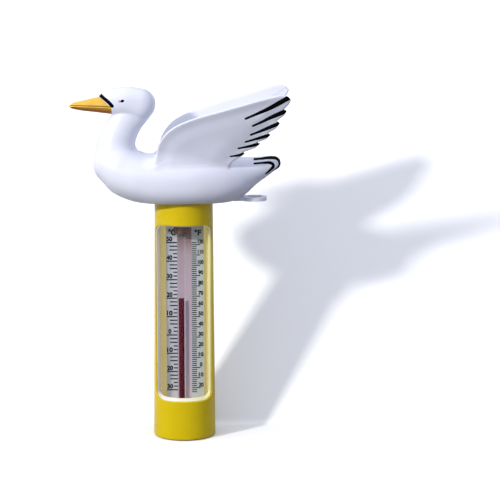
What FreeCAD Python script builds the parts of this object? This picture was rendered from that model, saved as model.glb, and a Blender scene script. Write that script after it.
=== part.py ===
import FreeCAD, Part
import math
import os

# A thermometer in a tubular case, with a hollow swan snapped on top.
# Z is the tube's axis and z = 0 the underside of the bottom cap. The case window faces -Y.
# The swan's head points to -X, so its left side is at -Y. All lengths are millimetres.

Vector = FreeCAD.Vector
os.makedirs("parts", exist_ok=True)

# ---------------------------------------------------------------- case
CASE_R_FOOT = 17.0          # outer radius at z = 0
CASE_R_HEAD = 15.8          # outer radius at z = CASE_TOP
CASE_WALL = 1.8
CASE_TOP = 130.3
CASE_CHAMFER = 0.5          # at the outer top edge
WINDOW_Z0 = 21.8
WINDOW_Z1 = 118.5
WINDOW_HALF_W = 14.7
WINDOW_CORNER_R = 4.2
WINDOW_EDGE_R = 0.45        # rounding of the window's outer edge
WINDOW_Y0, WINDOW_Y1 = -30.0, -4.0      # depth of the window cut

# Bottom cap and what it holds
CAP_RIM_T = 1.2
CAP_SPIGOT_TOP = 10.0
CAP_SPIGOT_GAP = 0.10
CAP_CUP_R = 12.5
CAP_FLOOR = 2.2
CAP_GROOVE_R = 13.45
CAP_GROOVE_Z0, CAP_GROOVE_Z1 = 4.6, 6.6
STACK_R = CAP_CUP_R - 0.2   # ballast and lower cushion
STACK_GAP = 0.1             # between pieces stacked along the axis
BALLAST_H = 6.0
BALLAST_CHAMFER = 0.5
LOWER_CUSHION_H = 2.5

# ---------------------------------------------------------------- clear tube and thermometer
CLEAR_R = 13.8
CLEAR_WALL = 1.2
CLEAR_INNER_R = CLEAR_R - CLEAR_WALL
CLEAR_Z0 = 12.3
CLEAR_Z1 = 122.0
PLUG_T = 1.2
PLUG_BORE_GAP = 0.05
PLUG_LIP_T = 1.2            # wall of the plug's lip inside the tube
CARD_W = 20.6
CARD_X = 0.5                # centre of the card
CARD_Y = 0.6                # face towards the window
CARD_T = 0.7
CARD_Z0 = CLEAR_Z0 + 1.0
CARD_Z1 = CLEAR_Z1 - 0.6
STEM_X = -1.4
STEM_Y = -1.9
STEM_R = 2.3
STEM_TOP = 119.6
STEM_TIP_H = 1.2            # length below STEM_TOP that the domed tip takes up
BORE_R = 1.10
COLUMN_R = 1.04
COLUMN_Z0 = 19.0            # where the column leaves the bulb's neck
COLUMN_Z1 = 76.7            # top of the column at 20 degrees Celsius
BULB_Z = 15.6               # centre of the bulb
BULB_R = 3.0
BULB_WALL = 0.5
BULB_CLEARANCE_R = BULB_R + 0.35
CLIPS = {"lower_clip": (18.3, 20.3), "upper_clip": (112.6, 116.2)}      # z low, z high
CLIP_LEG_X = 3.3            # leg offset from the stem's axis
CLIP_LEG_HALF_X = 0.7
CLIP_LEG_HALF_Z = 0.8
CLIP_HOLE_GAP = 0.05

# ---------------------------------------------------------------- neck joint and base plate
SPIGOT_R = 9.0
SOCKET_R = 9.06
SOCKET_TOP = 139.0
SOCKET_WALL = 2.4
BEAD_R = 9.7
NECK_PLUG_Z0 = CASE_TOP - 5.2
NECK_GROOVE_R = 7.7
NECK_GROOVE_Z0, NECK_GROOVE_Z1 = 134.2, 136.2
NECK_BORE_R = 6.4
BASE_Z0 = 130.6             # underside of the swan
BASE_T = 2.2
BASE_GAP = 0.12             # around the plate in the belly opening
BELLY_X = -1.0              # oval belly opening: centre, half length, half width, exponent
BELLY_L = 25.0
BELLY_W = 15.8
BELLY_POWER = 2.2
BELLY_POINTS = 32
TAB_X = 38.4                # centre of the tether ring
TAB_R = 6.8
TAB_HOLE_R = 4.2
TAB_T = 2.0
TONGUE_HALF_W = 4.1         # tongue between plate and ring
TONGUE_NOTCH_X0, TONGUE_NOTCH_X1 = 20.0, 36.0
TONGUE_GAP = 0.1

# ---------------------------------------------------------------- swan
SHELL_WALL = 2.0
SECTION_POINTS = 20
FAR = 200                   # beyond the swan in every direction

# Body stations: x, z low, z high, half width
BODY = [
    (-48.6, 147.2, 154.8, 4.6), (-47.0, 143.4, 158.6, 8.6), (-43.0, 138.4, 161.5, 13.6),
    (-37.0, 133.2, 161.0, 17.6), (-29.0, 129.3, 158.2, 20.6), (-18.0, 127.7, 154.8, 22.6),
    (-5.0, 127.2, 154.6, 23.6), (8.0, 127.3, 155.2, 23.2), (20.0, 128.2, 155.0, 21.0),
    (30.0, 131.0, 154.2, 17.0), (38.0, 137.0, 153.6, 12.4), (45.0, 142.4, 154.0, 8.4),
    (50.0, 146.4, 154.3, 5.6), (52.4, 148.6, 152.6, 2.8),
]
# Neck stations: centre x, centre z, half depth in the XZ plane, half width along Y
NECK = [
    (-33.0, 143.5, 9.6, 12.0), (-36.4, 150.5, 11.6, 12.6), (-37.0, 157.5, 11.4, 10.8),
    (-34.9, 164.8, 10.4, 9.2), (-31.2, 172.0, 9.8, 8.2), (-26.6, 179.4, 9.0, 7.6),
]
# Head and bill stations: x, z low, z high, half width
HEAD = [
    (-45.6, 178.4, 186.8, 4.5), (-42.8, 177.5, 189.1, 5.7), (-38.8, 176.9, 191.2, 6.9),
    (-34.6, 176.3, 192.1, 7.7), (-30.0, 175.6, 192.4, 8.2), (-25.5, 175.0, 191.9, 8.4),
    (-21.3, 175.6, 190.4, 7.8), (-17.8, 177.8, 188.2, 6.2), (-15.7, 180.4, 185.8, 3.6),
]
BILL = [
    (-61.9, 181.35, 182.65, 0.65), (-61.0, 180.75, 183.0, 1.35), (-58.8, 180.0, 183.9, 2.1),
    (-54.0, 179.2, 185.1, 3.0), (-48.5, 178.5, 186.3, 4.0), (-44.8, 178.2, 187.0, 4.6),
    (-41.5, 178.0, 186.6, 4.75),
]
# Section shape of head and bill: height fraction of the widest point, superellipse exponents
HEAD_SHAPE = dict(middle=0.5, upper_power=2.1, lower_power=2.1)

# Bill joint: upper and lower (x, z) of the sloping plane, and the peg along X
BROW = (-45.2, 187.2)
GAPE = (-38.6, 176.6)
BILL_PEG_X, BILL_PEG_Z = -46.5, 182.4
BILL_PEG_L = 11.5
BILL_PEG_R = 2.6
BILL_SOCKET_R = 2.66
BILL_SOCKET_L = 20.0

# Locating pegs between the half shells, along Y: (x, z) places
SHELL_PEGS = [(-41.5, 150.0), (36.5, 147.5), (-25.5, 183.0)]
SHELL_BOSS_R = 2.4
SHELL_PEG_R = 1.15
SHELL_HOLE_R = 1.2

# Wing plane: through |y| = LEAN_Y0 at z = LEAN_Z0, leaning out LEAN_DY over a rise of LEAN_DZ
LEAN_Y0, LEAN_Z0, LEAN_DY, LEAN_DZ = 15.0, 152.0, 15.0, 35.5
WING_T = 3.4
TENON_X0, TENON_X1 = -9.0, 15.0
TENON_T = 2.4
TENON_GAP = 0.1

# Wing outline in side view, (x, z): smooth leading edge, then straight-sided feather ends
LEADING_EDGE = [
    (-13.6, 152.0), (-13.9, 157.0), (-13.2, 161.6), (-11.5, 165.4), (-8.8, 169.0),
    (-5.2, 172.2), (0.0, 175.0), (6.0, 177.4), (11.6, 179.2), (18.7, 181.2), (26.3, 183.5),
    (33.8, 185.7), (41.3, 188.0), (48.9, 190.0), (53.0, 190.5), (55.9, 189.8), (57.7, 187.9),
]
FEATHERS = [
    (56.4, 185.4), (53.9, 182.7), (55.7, 181.8), (53.9, 179.2), (50.3, 176.4), (52.0, 175.0),
    (49.8, 171.9), (45.6, 169.5), (47.2, 168.6), (44.6, 166.0), (39.8, 164.3), (41.7, 163.6),
    (38.7, 161.1), (32.4, 158.8), (33.5, 158.0), (30.8, 156.0), (27.5, 154.2), (25.5, 150.0),
]


# ================================================================ helpers
def save(shape, name):
    if shape.ShapeType == "Compound" and len(shape.Solids) == 1:
        shape = shape.Solids[0]
    shape.exportStep("parts/%s.step" % name)


def cylinder(radius, z0, z1, x=0.0, y=0.0):
    return Part.makeCylinder(radius, z1 - z0, Vector(x, y, z0))


def stem_cylinder(radius, z0, z1):
    return cylinder(radius, z0, z1, STEM_X, STEM_Y)


def stem_sphere(radius, z):
    return Part.makeSphere(radius, Vector(STEM_X, STEM_Y, z))


def box(x0, x1, y0, y1, z0, z1):
    return Part.makeBox(x1 - x0, y1 - y0, z1 - z0, Vector(x0, y0, z0))


def seal_ring(ring_r, cord_r, z):
    return Part.makeTorus(ring_r, cord_r, Vector(0, 0, z), Vector(0, 0, 1))


def polygon_face(points):
    return Part.Face(Part.makePolygon(points + [points[0]]))


def revolve(outline):
    """Solid of revolution about Z from a closed (r, z) outline."""
    face = polygon_face([Vector(r, 0, z) for r, z in outline])
    return face.revolve(Vector(0, 0, 0), Vector(0, 0, 1), 360)


def xz_prism(outline, y0, y1):
    face = polygon_face([Vector(x, y0, z) for x, z in outline])
    return face.extrude(Vector(0, y1 - y0, 0))


def smooth_loop(points):
    curve = Part.BSplineCurve()
    curve.interpolate(Points=points, PeriodicFlag=True)
    return Part.Wire([curve.toShape()])


def loop_angles(count):
    return [2 * math.pi * i / count for i in range(count)]


def rounded(value, power):
    """Superellipse coordinate for a sine or cosine value."""
    return math.copysign(abs(value) ** (2 / power), value)


def case_r(z):
    return CASE_R_FOOT + (CASE_R_HEAD - CASE_R_FOOT) * z / CASE_TOP


def case_inner_r(z):
    return case_r(z) - CASE_WALL


# ================================================================ case
def window_slot():
    slot = box(-WINDOW_HALF_W, WINDOW_HALF_W, WINDOW_Y0, WINDOW_Y1, WINDOW_Z0, WINDOW_Z1)
    corners = []
    for edge in slot.Edges:
        centre = edge.CenterOfMass
        at_side = abs(abs(centre.x) - WINDOW_HALF_W) < 1e-6
        at_end = min(abs(centre.z - WINDOW_Z0), abs(centre.z - WINDOW_Z1)) < 1e-6
        if at_side and at_end and abs(centre.y - (WINDOW_Y0 + WINDOW_Y1) / 2) < 1e-6:
            corners.append(edge)
    return slot.makeFillet(WINDOW_CORNER_R, corners)


def on_window_rim(edge):
    """True for an edge of the window on the case's outer surface."""
    point = edge.valueAt((edge.FirstParameter + edge.LastParameter) / 2)
    return (point.y < -4.5 and WINDOW_Z0 - 0.1 < point.z < WINDOW_Z1 + 0.1
            and abs(math.hypot(point.x, point.y) - case_r(point.z)) < 0.05
            and abs(point.x) < WINDOW_HALF_W + 0.1)


def case_tube():
    head_r = case_r(CASE_TOP)
    tube = revolve([
        (0, CAP_RIM_T), (case_r(CAP_RIM_T), CAP_RIM_T), (head_r, CASE_TOP - CASE_CHAMFER),
        (head_r - CASE_CHAMFER, CASE_TOP), (0, CASE_TOP)])
    bore_top = CASE_TOP + 2.0
    tube = tube.cut(Part.makeCone(case_inner_r(0.0), case_inner_r(bore_top), bore_top))
    tube = tube.cut(window_slot())
    softened = tube.makeFillet(WINDOW_EDGE_R, [e for e in tube.Edges if on_window_rim(e)])
    # Guards against a fillet that breaks the solid: the sharp rim is kept then
    if softened.isValid() and len(softened.Solids) == 1:
        return softened
    return tube


def bottom_cap():
    """Rim, spigot with seal groove, and a cup for the ballast."""
    foot_r = case_r(0)
    spigot_r = case_inner_r(5.0) - CAP_SPIGOT_GAP
    return revolve([
        (0, 0), (foot_r - 1.3, 0), (foot_r - 0.35, 0.35), (foot_r - 0.1, 0.8),
        (case_r(CAP_RIM_T) - 0.15, CAP_RIM_T), (spigot_r, CAP_RIM_T),
        (spigot_r, CAP_GROOVE_Z0), (CAP_GROOVE_R, CAP_GROOVE_Z0),
        (CAP_GROOVE_R, CAP_GROOVE_Z1), (spigot_r - 0.02, CAP_GROOVE_Z1),
        (spigot_r - 0.05, CAP_SPIGOT_TOP - 0.6), (spigot_r - 0.6, CAP_SPIGOT_TOP),
        (CAP_CUP_R, CAP_SPIGOT_TOP), (CAP_CUP_R, CAP_FLOOR), (0, CAP_FLOOR)])


def ballast_weight():
    z0 = CAP_FLOOR + STACK_GAP
    z1 = z0 + BALLAST_H
    end_r = STACK_R - BALLAST_CHAMFER
    return revolve([(0, z0), (end_r, z0), (STACK_R, z0 + BALLAST_CHAMFER),
                    (STACK_R, z1 - BALLAST_CHAMFER), (end_r, z1), (0, z1)])


def lower_cushion():
    z0 = CAP_FLOOR + BALLAST_H + 2 * STACK_GAP
    z1 = z0 + LOWER_CUSHION_H
    return revolve([(0, z0), (STACK_R, z0), (STACK_R, z1 - 0.9), (STACK_R - 0.3, z1), (0, z1)])


def upper_cushion():
    radius = 13.0
    z0 = CLEAR_Z1 + PLUG_T + STACK_GAP
    z1 = NECK_PLUG_Z0 - STACK_GAP
    return revolve([(0, z0), (radius - 0.4, z0), (radius, z0 + 0.5), (radius, z1), (0, z1)])


def neck_plug():
    """Closes the case and carries the swan on a hollow snap spigot."""
    plug_r = case_inner_r(CASE_TOP) - 0.06
    shoulder = CASE_TOP - 0.05
    bore_floor = CASE_TOP + 1.6
    spigot_top = SOCKET_TOP + 1.9
    return revolve([
        (0, NECK_PLUG_Z0), (plug_r - 0.4, NECK_PLUG_Z0), (plug_r, NECK_PLUG_Z0 + 0.4),
        (plug_r, shoulder), (SPIGOT_R, shoulder), (SPIGOT_R, NECK_GROOVE_Z0),
        (NECK_GROOVE_R, NECK_GROOVE_Z0), (NECK_GROOVE_R, NECK_GROOVE_Z1),
        (SPIGOT_R, NECK_GROOVE_Z1), (SPIGOT_R, SOCKET_TOP + 0.12),
        (BEAD_R, SOCKET_TOP + 0.5), (BEAD_R, SOCKET_TOP + 1.0), (BEAD_R - 1.0, spigot_top),
        (NECK_BORE_R, spigot_top), (NECK_BORE_R, bore_floor), (0, bore_floor)])


# ================================================================ clear tube and its plugs
def clear_tube():
    return revolve([(CLEAR_INNER_R, CLEAR_Z0), (CLEAR_R, CLEAR_Z0),
                    (CLEAR_R, CLEAR_Z1), (CLEAR_INNER_R, CLEAR_Z1)])


def card_notch(z0, z1):
    """Room for an end of the card, with clearance all round."""
    side, face = 0.1, 0.06
    return box(CARD_X - CARD_W / 2 - side, CARD_X + CARD_W / 2 + side,
               CARD_Y - face, CARD_Y + CARD_T + face, z0, z1)


def card_rib(z0, z1):
    """Bar across a plug, either side of the card."""
    slab = box(-20, 20, CARD_Y - 1.0, CARD_Y + CARD_T + 1.0, 0, 140)
    return cylinder(CLEAR_INNER_R - 1.1, z0, z1).common(slab)


LIP_R = CLEAR_INNER_R - PLUG_BORE_GAP
LIP_INNER_R = CLEAR_INNER_R - PLUG_LIP_T


def clear_tube_bottom_plug():
    z0 = CLEAR_Z0 - PLUG_T
    floor = CLEAR_Z0 - 0.2
    lip_top = CLEAR_Z0 + 2.6
    plug = revolve([
        (0, z0), (CLEAR_R, z0), (CLEAR_R, CLEAR_Z0), (LIP_R, CLEAR_Z0), (LIP_R, lip_top),
        (LIP_INNER_R, lip_top), (LIP_INNER_R, floor), (0, floor)])
    rib = card_rib(floor, CLEAR_Z0 + 2.2).cut(stem_cylinder(BULB_CLEARANCE_R, 0, 30))
    plug = plug.fuse(rib).cut(card_notch(CARD_Z0 - 0.1, 40))
    return plug.cut(stem_cylinder(BULB_CLEARANCE_R, floor, 30))


def clear_tube_top_plug():
    z1 = CLEAR_Z1 + PLUG_T
    rim_r = CLEAR_R - 0.2
    lip_end = CLEAR_Z1 - 2.4
    plug = revolve([
        (0, z1), (rim_r, z1), (rim_r, CLEAR_Z1), (LIP_R, CLEAR_Z1), (LIP_R, lip_end),
        (LIP_INNER_R, lip_end), (LIP_INNER_R, CLEAR_Z1), (0, CLEAR_Z1)])
    rib = card_rib(CLEAR_Z1 - 2.0, CLEAR_Z1 + 0.1)
    rib = rib.cut(stem_cylinder(STEM_R + 0.3, 100, CLEAR_Z1))
    return plug.fuse(rib).cut(card_notch(90, CARD_Z1 + 0.1))


# ================================================================ thermometer
def clip_legs(z0, z1, gap, y0, y1):
    """The two leg blocks of a clip, grown by gap in x and z."""
    middle = (z0 + z1) / 2
    half_x, half_z = CLIP_LEG_HALF_X + gap, CLIP_LEG_HALF_Z + gap
    return [box(x - half_x, x + half_x, y0, y1, middle - half_z, middle + half_z)
            for x in (STEM_X - CLIP_LEG_X, STEM_X + CLIP_LEG_X)]


def scale_card():
    """Flat strip with four holes for the clip legs and a notch that clears the bulb."""
    card = box(CARD_X - CARD_W / 2, CARD_X + CARD_W / 2, CARD_Y, CARD_Y + CARD_T,
               CARD_Z0, CARD_Z1)
    for z0, z1 in CLIPS.values():
        for leg in clip_legs(z0, z1, CLIP_HOLE_GAP, CARD_Y - 1, CARD_Y + 2):
            card = card.cut(leg)
    return card.cut(stem_cylinder(BULB_CLEARANCE_R, 0, BULB_Z + BULB_R))


def stem_clip(z0, z1):
    """Collar round the stem on a rectangular foot, with two legs through the card."""
    collar_r = STEM_R + 0.9
    foot_rise = 0.6             # from the stem's axis to the foot's window-side face
    foot_half_w = STEM_R + 1.8
    foot_y0, foot_y1 = STEM_Y + foot_rise, CARD_Y - 0.05
    arc_half_w = math.sqrt(collar_r ** 2 - foot_rise ** 2)

    def point(dx, y):
        return Vector(STEM_X + dx, y, z0)

    arc = Part.Arc(point(-arc_half_w, foot_y0), point(0, STEM_Y - collar_r),
                   point(arc_half_w, foot_y0)).toShape()
    foot = [point(arc_half_w, foot_y0), point(foot_half_w, foot_y0),
            point(foot_half_w, foot_y1), point(-foot_half_w, foot_y1),
            point(-foot_half_w, foot_y0), point(-arc_half_w, foot_y0)]
    rim = Part.Wire([arc] + [Part.makeLine(a, b) for a, b in zip(foot[:-1], foot[1:])])
    rise = Vector(0, 0, z1 - z0)
    circle = Part.makeCircle(STEM_R + 0.03, point(0, STEM_Y), Vector(0, 0, 1))
    hole = Part.Face(Part.Wire([circle])).extrude(rise)
    clip = Part.Face(rim).extrude(rise).cut(hole)
    for leg in clip_legs(z0, z1, 0.0, CARD_Y - 0.4, CARD_Y + CARD_T + 0.5):
        clip = clip.fuse(leg)
    return clip


def glass_capillary():
    """Bored rod with a hollow bulb at its foot and a domed tip."""
    rod_top = STEM_TOP - STEM_TIP_H
    tip = stem_sphere(STEM_R, rod_top - 0.9)
    tip = tip.common(box(-20, 20, -20, 20, rod_top, STEM_TOP + 5))
    glass = stem_sphere(BULB_R, BULB_Z).fuse(stem_cylinder(STEM_R, BULB_Z, rod_top)).fuse(tip)
    bore = stem_cylinder(BORE_R, BULB_Z, STEM_TOP - 2.2)
    return glass.cut(stem_sphere(BULB_R - BULB_WALL, BULB_Z).fuse(bore))


def spirit_bulb_fill():
    ball = stem_sphere(BULB_R - BULB_WALL - 0.06, BULB_Z)
    return ball.fuse(stem_cylinder(COLUMN_R, BULB_Z, COLUMN_Z0 - 0.02))


# ================================================================ swan
def body_section(x, z_low, z_high, half_w, inset=0.0,
                 middle=0.46, upper_power=2.25, lower_power=2.6):
    """Superellipse section at x, inset by the wall, with its own exponent above and below."""
    z_low, z_high, half_w = z_low + inset, z_high - inset, half_w - inset
    z_middle = z_low + (z_high - z_low) * middle
    points = []
    for angle in loop_angles(SECTION_POINTS):
        c, s = math.cos(angle), math.sin(angle)
        power = upper_power if s >= 0 else lower_power
        height = (z_high - z_middle) if s >= 0 else (z_middle - z_low)
        points.append(Vector(x, half_w * rounded(c, power), z_middle + height * rounded(s, power)))
    return smooth_loop(points)


def neck_section(i, inset):
    """Ellipse at neck station i, square to the line between its neighbours."""
    x, z, half_depth, half_w = NECK[i]
    x0, z0 = NECK[max(i - 1, 0)][:2]
    x1, z1 = NECK[min(i + 1, len(NECK) - 1)][:2]
    length = math.hypot(x1 - x0, z1 - z0)
    across_x, across_z = (z1 - z0) / length, -(x1 - x0) / length
    points = []
    for angle in loop_angles(SECTION_POINTS):
        reach = (half_depth - inset) * math.cos(angle)
        points.append(Vector(x + across_x * reach, (half_w - inset) * math.sin(angle),
                             z + across_z * reach))
    return smooth_loop(points)


def loft(sections):
    return Part.makeLoft(sections, True, False)


def swan_solid(body_stations, head_stations, inset):
    body = loft([body_section(*s, inset=inset) for s in body_stations])
    neck = loft([neck_section(i, inset) for i in range(len(NECK))])
    head = loft([body_section(*s, inset=inset, **HEAD_SHAPE) for s in head_stations])
    return body.fuse(neck).fuse(head)


def swan_outer():
    """Swan trimmed flat underneath and along the bill joint."""
    swan = swan_solid(BODY, HEAD, 0.0)
    swan = swan.cut(box(-FAR, FAR, -FAR, FAR, 0, BASE_Z0))
    return swan.cut(xz_prism(
        [(BROW[0], 200), BROW, GAPE, (-60, GAPE[1]), (-60, 200)], -30, 30))


def beak():
    """Tapering bill with a peg that keys between the half shells."""
    bill = loft([body_section(*s, **HEAD_SHAPE) for s in BILL])
    bill = bill.cut(xz_prism(
        [(BROW[0], 200), BROW, GAPE, (-38.0, 160), (-20, 160), (-20, 200)], -30, 30))
    return bill.fuse(Part.makeCylinder(
        BILL_PEG_R, BILL_PEG_L, Vector(BILL_PEG_X, 0, BILL_PEG_Z), Vector(1, 0, 0)))


def lean_y(z):
    return LEAN_Y0 + (z - LEAN_Z0) / LEAN_DZ * LEAN_DY


def tenon_prism(side, gap, z0, z1):
    """Block that follows the wing's lean, grown by gap in x and y."""
    x, half_t = TENON_X0 - gap, TENON_T / 2 + gap
    corners = [(z0, -half_t), (z0, half_t), (z1, half_t), (z1, -half_t)]
    face = polygon_face([Vector(x, side * (lean_y(z) + dy), z) for z, dy in corners])
    return face.extrude(Vector(TENON_X1 + gap - x, 0, 0))


def wing(side, swan):
    """Leaning panel cut to the body, with a tenon; side is -1 for left, 1 for right."""
    def plane_points(outline):
        return [Vector(x, side * lean_y(z), z) for x, z in outline]

    curve = Part.BSplineCurve()
    curve.interpolate(Points=plane_points(LEADING_EDGE))
    ends = plane_points([LEADING_EDGE[-1]] + FEATHERS + [LEADING_EDGE[0]])
    edges = [curve.toShape()] + [Part.makeLine(a, b) for a, b in zip(ends[:-1], ends[1:])]
    face = Part.Face(Part.Wire(edges))
    normal = Vector(0, side * LEAN_DZ, -LEAN_DY)
    normal.normalize()
    face.translate(normal * (-WING_T / 2))
    panel = face.extrude(normal * WING_T).cut(swan)
    panel = max(panel.Solids, key=lambda solid: solid.Volume)
    return panel.fuse(tenon_prism(side, 0.0, 145.0, 158.0))


def belly_prism(gap, z0, z1):
    """The oval opening in the belly, or the plate that fills it, shrunk by gap."""
    points = [Vector(BELLY_X + (BELLY_L - gap) * rounded(math.cos(angle), BELLY_POWER),
                     (BELLY_W - gap) * rounded(math.sin(angle), BELLY_POWER), z0)
              for angle in loop_angles(BELLY_POINTS)]
    return Part.Face(smooth_loop(points)).extrude(Vector(0, 0, z1 - z0))


def swan_shells(swan):
    """Left and right hollow halves: pegs on the left, matching holes on the right."""
    # The cavity leaves out the end stations, so the head is solid behind the bill
    hollow = swan.cut(swan_solid(BODY[1:-1], HEAD[3:-1], SHELL_WALL))
    hollow = hollow.cut(belly_prism(0.0, BASE_Z0 - 1.0, BASE_Z0 + 4.0))
    socket_x = BILL_PEG_X + BILL_PEG_L + 0.1 - BILL_SOCKET_L
    hollow = hollow.cut(Part.makeCylinder(
        BILL_SOCKET_R, BILL_SOCKET_L, Vector(socket_x, 0, BILL_PEG_Z), Vector(1, 0, 0)))
    # Room for the base plate's tongue and ring
    z0, z1 = BASE_Z0 - 1, BASE_Z0 + TAB_T + 0.1
    notch_half_w = TONGUE_HALF_W + TONGUE_GAP
    hollow = hollow.cut(box(TONGUE_NOTCH_X0, TONGUE_NOTCH_X1, -notch_half_w, notch_half_w, z0, z1))
    hollow = hollow.cut(cylinder(TAB_R + 0.2, z0, z1, TAB_X))
    for side in (-1, 1):
        hollow = hollow.cut(tenon_prism(side, TENON_GAP, 140.0, 157.9))

    left = hollow.common(box(-FAR, FAR, -FAR, 0, 0, 2 * FAR))
    left = max(left.Solids, key=lambda solid: solid.Volume)
    for x, z in SHELL_PEGS:
        boss = Part.makeCylinder(SHELL_BOSS_R, 22.0, Vector(x, 0, z), Vector(0, -1, 0))
        left = left.fuse(boss.common(swan))
    right = left.mirror(Vector(0, 0, 0), Vector(0, 1, 0))
    along_y = Vector(0, 1, 0)
    for x, z in SHELL_PEGS:
        left = left.fuse(Part.makeCylinder(SHELL_PEG_R, 5.0, Vector(x, -2.0, z), along_y))
        right = right.cut(Part.makeCylinder(SHELL_HOLE_R, 4.2, Vector(x, -1.0, z), along_y))
    return left, right


def base_plate():
    """Closes the belly and carries the neck socket and the flat tether ring."""
    plate = belly_prism(BASE_GAP, BASE_Z0, BASE_Z0 + BASE_T)
    tab_top = BASE_Z0 + TAB_T
    tongue = box(BELLY_X + BELLY_L - 6.0, TAB_X - 3.0, -TONGUE_HALF_W, TONGUE_HALF_W,
                 BASE_Z0, tab_top)
    ring = cylinder(TAB_R, BASE_Z0, tab_top, TAB_X).fuse(tongue)
    ring = ring.cut(cylinder(TAB_HOLE_R, 100, 160, TAB_X))
    plate = plate.fuse(ring)
    plate = plate.fuse(cylinder(SOCKET_R + SOCKET_WALL, BASE_Z0 + 0.5, SOCKET_TOP))
    return plate.cut(cylinder(SOCKET_R, 100, 160))


# ================================================================ build
for build in (case_tube, bottom_cap, ballast_weight, lower_cushion, neck_plug, upper_cushion,
              clear_tube, clear_tube_bottom_plug, clear_tube_top_plug, scale_card,
              glass_capillary, spirit_bulb_fill, beak, base_plate):
    save(build(), build.__name__)

save(seal_ring(14.26, 0.78, (CAP_GROOVE_Z0 + CAP_GROOVE_Z1) / 2), "cap_seal")
save(seal_ring(8.36, 0.62, (NECK_GROOVE_Z0 + NECK_GROOVE_Z1) / 2), "neck_seal")
for clip_name, (clip_z0, clip_z1) in CLIPS.items():
    save(stem_clip(clip_z0, clip_z1), clip_name)
save(stem_cylinder(COLUMN_R, COLUMN_Z0, COLUMN_Z1), "spirit_column")

outer = swan_outer()
save(wing(-1, outer), "left_wing")
save(wing(1, outer), "right_wing")
left_shell, right_shell = swan_shells(outer)
save(left_shell, "swan_left_shell")
save(right_shell, "swan_right_shell")
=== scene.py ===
# A thermometer with a swan on top: a yellow tube case with a clear window over a printed
# scale card, a glass capillary with red spirit, and a hollow white swan above the case.
# The case stands on the Z axis. Window and scale face -Y, the swan's head points to -X,
# its left side is -Y, and y = 0 is the swan's mirror plane.
# Shapes are in mm and become metres in new_mesh. Stage, lights and camera are in metres.
import math

import bmesh
import bpy
import numpy as np
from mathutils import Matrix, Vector


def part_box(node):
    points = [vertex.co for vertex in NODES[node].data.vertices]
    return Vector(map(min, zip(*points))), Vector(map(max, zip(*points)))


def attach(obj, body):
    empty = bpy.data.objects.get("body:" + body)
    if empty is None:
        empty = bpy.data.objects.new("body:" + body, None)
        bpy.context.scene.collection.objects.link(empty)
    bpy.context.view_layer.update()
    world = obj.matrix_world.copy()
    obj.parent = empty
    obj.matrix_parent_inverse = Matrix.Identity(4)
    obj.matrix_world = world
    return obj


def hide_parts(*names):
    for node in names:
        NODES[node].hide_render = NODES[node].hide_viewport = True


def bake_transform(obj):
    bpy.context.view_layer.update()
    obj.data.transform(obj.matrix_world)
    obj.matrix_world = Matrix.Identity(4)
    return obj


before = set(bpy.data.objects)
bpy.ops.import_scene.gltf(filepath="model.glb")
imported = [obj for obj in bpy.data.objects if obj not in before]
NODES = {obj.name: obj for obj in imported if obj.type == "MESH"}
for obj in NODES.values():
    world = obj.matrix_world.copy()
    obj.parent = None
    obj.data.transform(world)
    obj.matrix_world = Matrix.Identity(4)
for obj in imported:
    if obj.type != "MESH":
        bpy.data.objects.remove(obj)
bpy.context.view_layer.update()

MM = 0.001


# ------------------------------------------------------------------ curves and distances
def catmull(control, step):
    """Rows along a smooth curve through control, about step apart in the first two columns."""
    rows = np.array(control, float)
    rows = np.vstack([2 * rows[0] - rows[1], rows, 2 * rows[-1] - rows[-2]])
    points = []
    for before, start, end, after in zip(rows, rows[1:], rows[2:], rows[3:]):
        count = max(1, int(math.ceil(np.linalg.norm((end - start)[:2]) / step)))
        for t in np.arange(count) / count:
            points.append(0.5 * (2 * start + (end - before) * t
                                 + (2 * before - 5 * start + 4 * end - after) * t * t
                                 + (3 * start - before - 3 * end + after) * t ** 3))
    points.append(rows[-2])
    return np.array(points)


def smoothstep(value, low, high):
    t = np.clip((value - low) / (high - low), 0, 1)
    return t * t * (3 - 2 * t)


def polygon_distance(x, z, polygon):
    """Signed distance to a closed polygon, negative inside."""
    nearest2 = np.full(len(x), 1e9)
    inside = np.zeros(len(x), bool)
    for (start_x, start_z), (end_x, end_z) in zip(polygon, np.roll(polygon, -1, 0)):
        edge_x, edge_z = end_x - start_x, end_z - start_z
        off_x, off_z = x - start_x, z - start_z
        t = (off_x * edge_x + off_z * edge_z) / (edge_x * edge_x + edge_z * edge_z + 1e-12)
        t = np.clip(t, 0, 1)
        nearest2 = np.minimum(nearest2, (off_x - t * edge_x) ** 2 + (off_z - t * edge_z) ** 2)
        spans = (start_z > z) != (end_z > z)
        crossing_x = start_x + (z - start_z) * edge_x / (edge_z if edge_z else 1e-12)
        inside ^= spans & (x < crossing_x)
    return np.where(inside, -1, 1) * np.sqrt(nearest2)


def line_distance(x, z, points):
    """Distance to an open polyline, the side (+1 is left of its run), and the way along, 0 to 1."""
    points = np.array(points, float)
    lengths = np.linalg.norm(points[1:] - points[:-1], axis=1)
    run = np.concatenate([[0], np.cumsum(lengths)])
    nearest = np.full(len(x), 1e9)
    side = np.zeros(len(x))
    along = np.zeros(len(x))
    for i in range(len(points) - 1):
        edge_x, edge_z = points[i + 1] - points[i]
        off_x, off_z = x - points[i][0], z - points[i][1]
        t = (off_x * edge_x + off_z * edge_z) / (edge_x * edge_x + edge_z * edge_z)
        t = np.clip(t, 0, 1)
        dist = np.hypot(off_x - t * edge_x, off_z - t * edge_z)
        closer = dist < nearest
        nearest = np.where(closer, dist, nearest)
        side = np.where(closer, edge_x * off_z - edge_z * off_x, side)
        along = np.where(closer, (run[i] + t * lengths[i]) / run[-1], along)
    return nearest, np.sign(side), along


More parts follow.
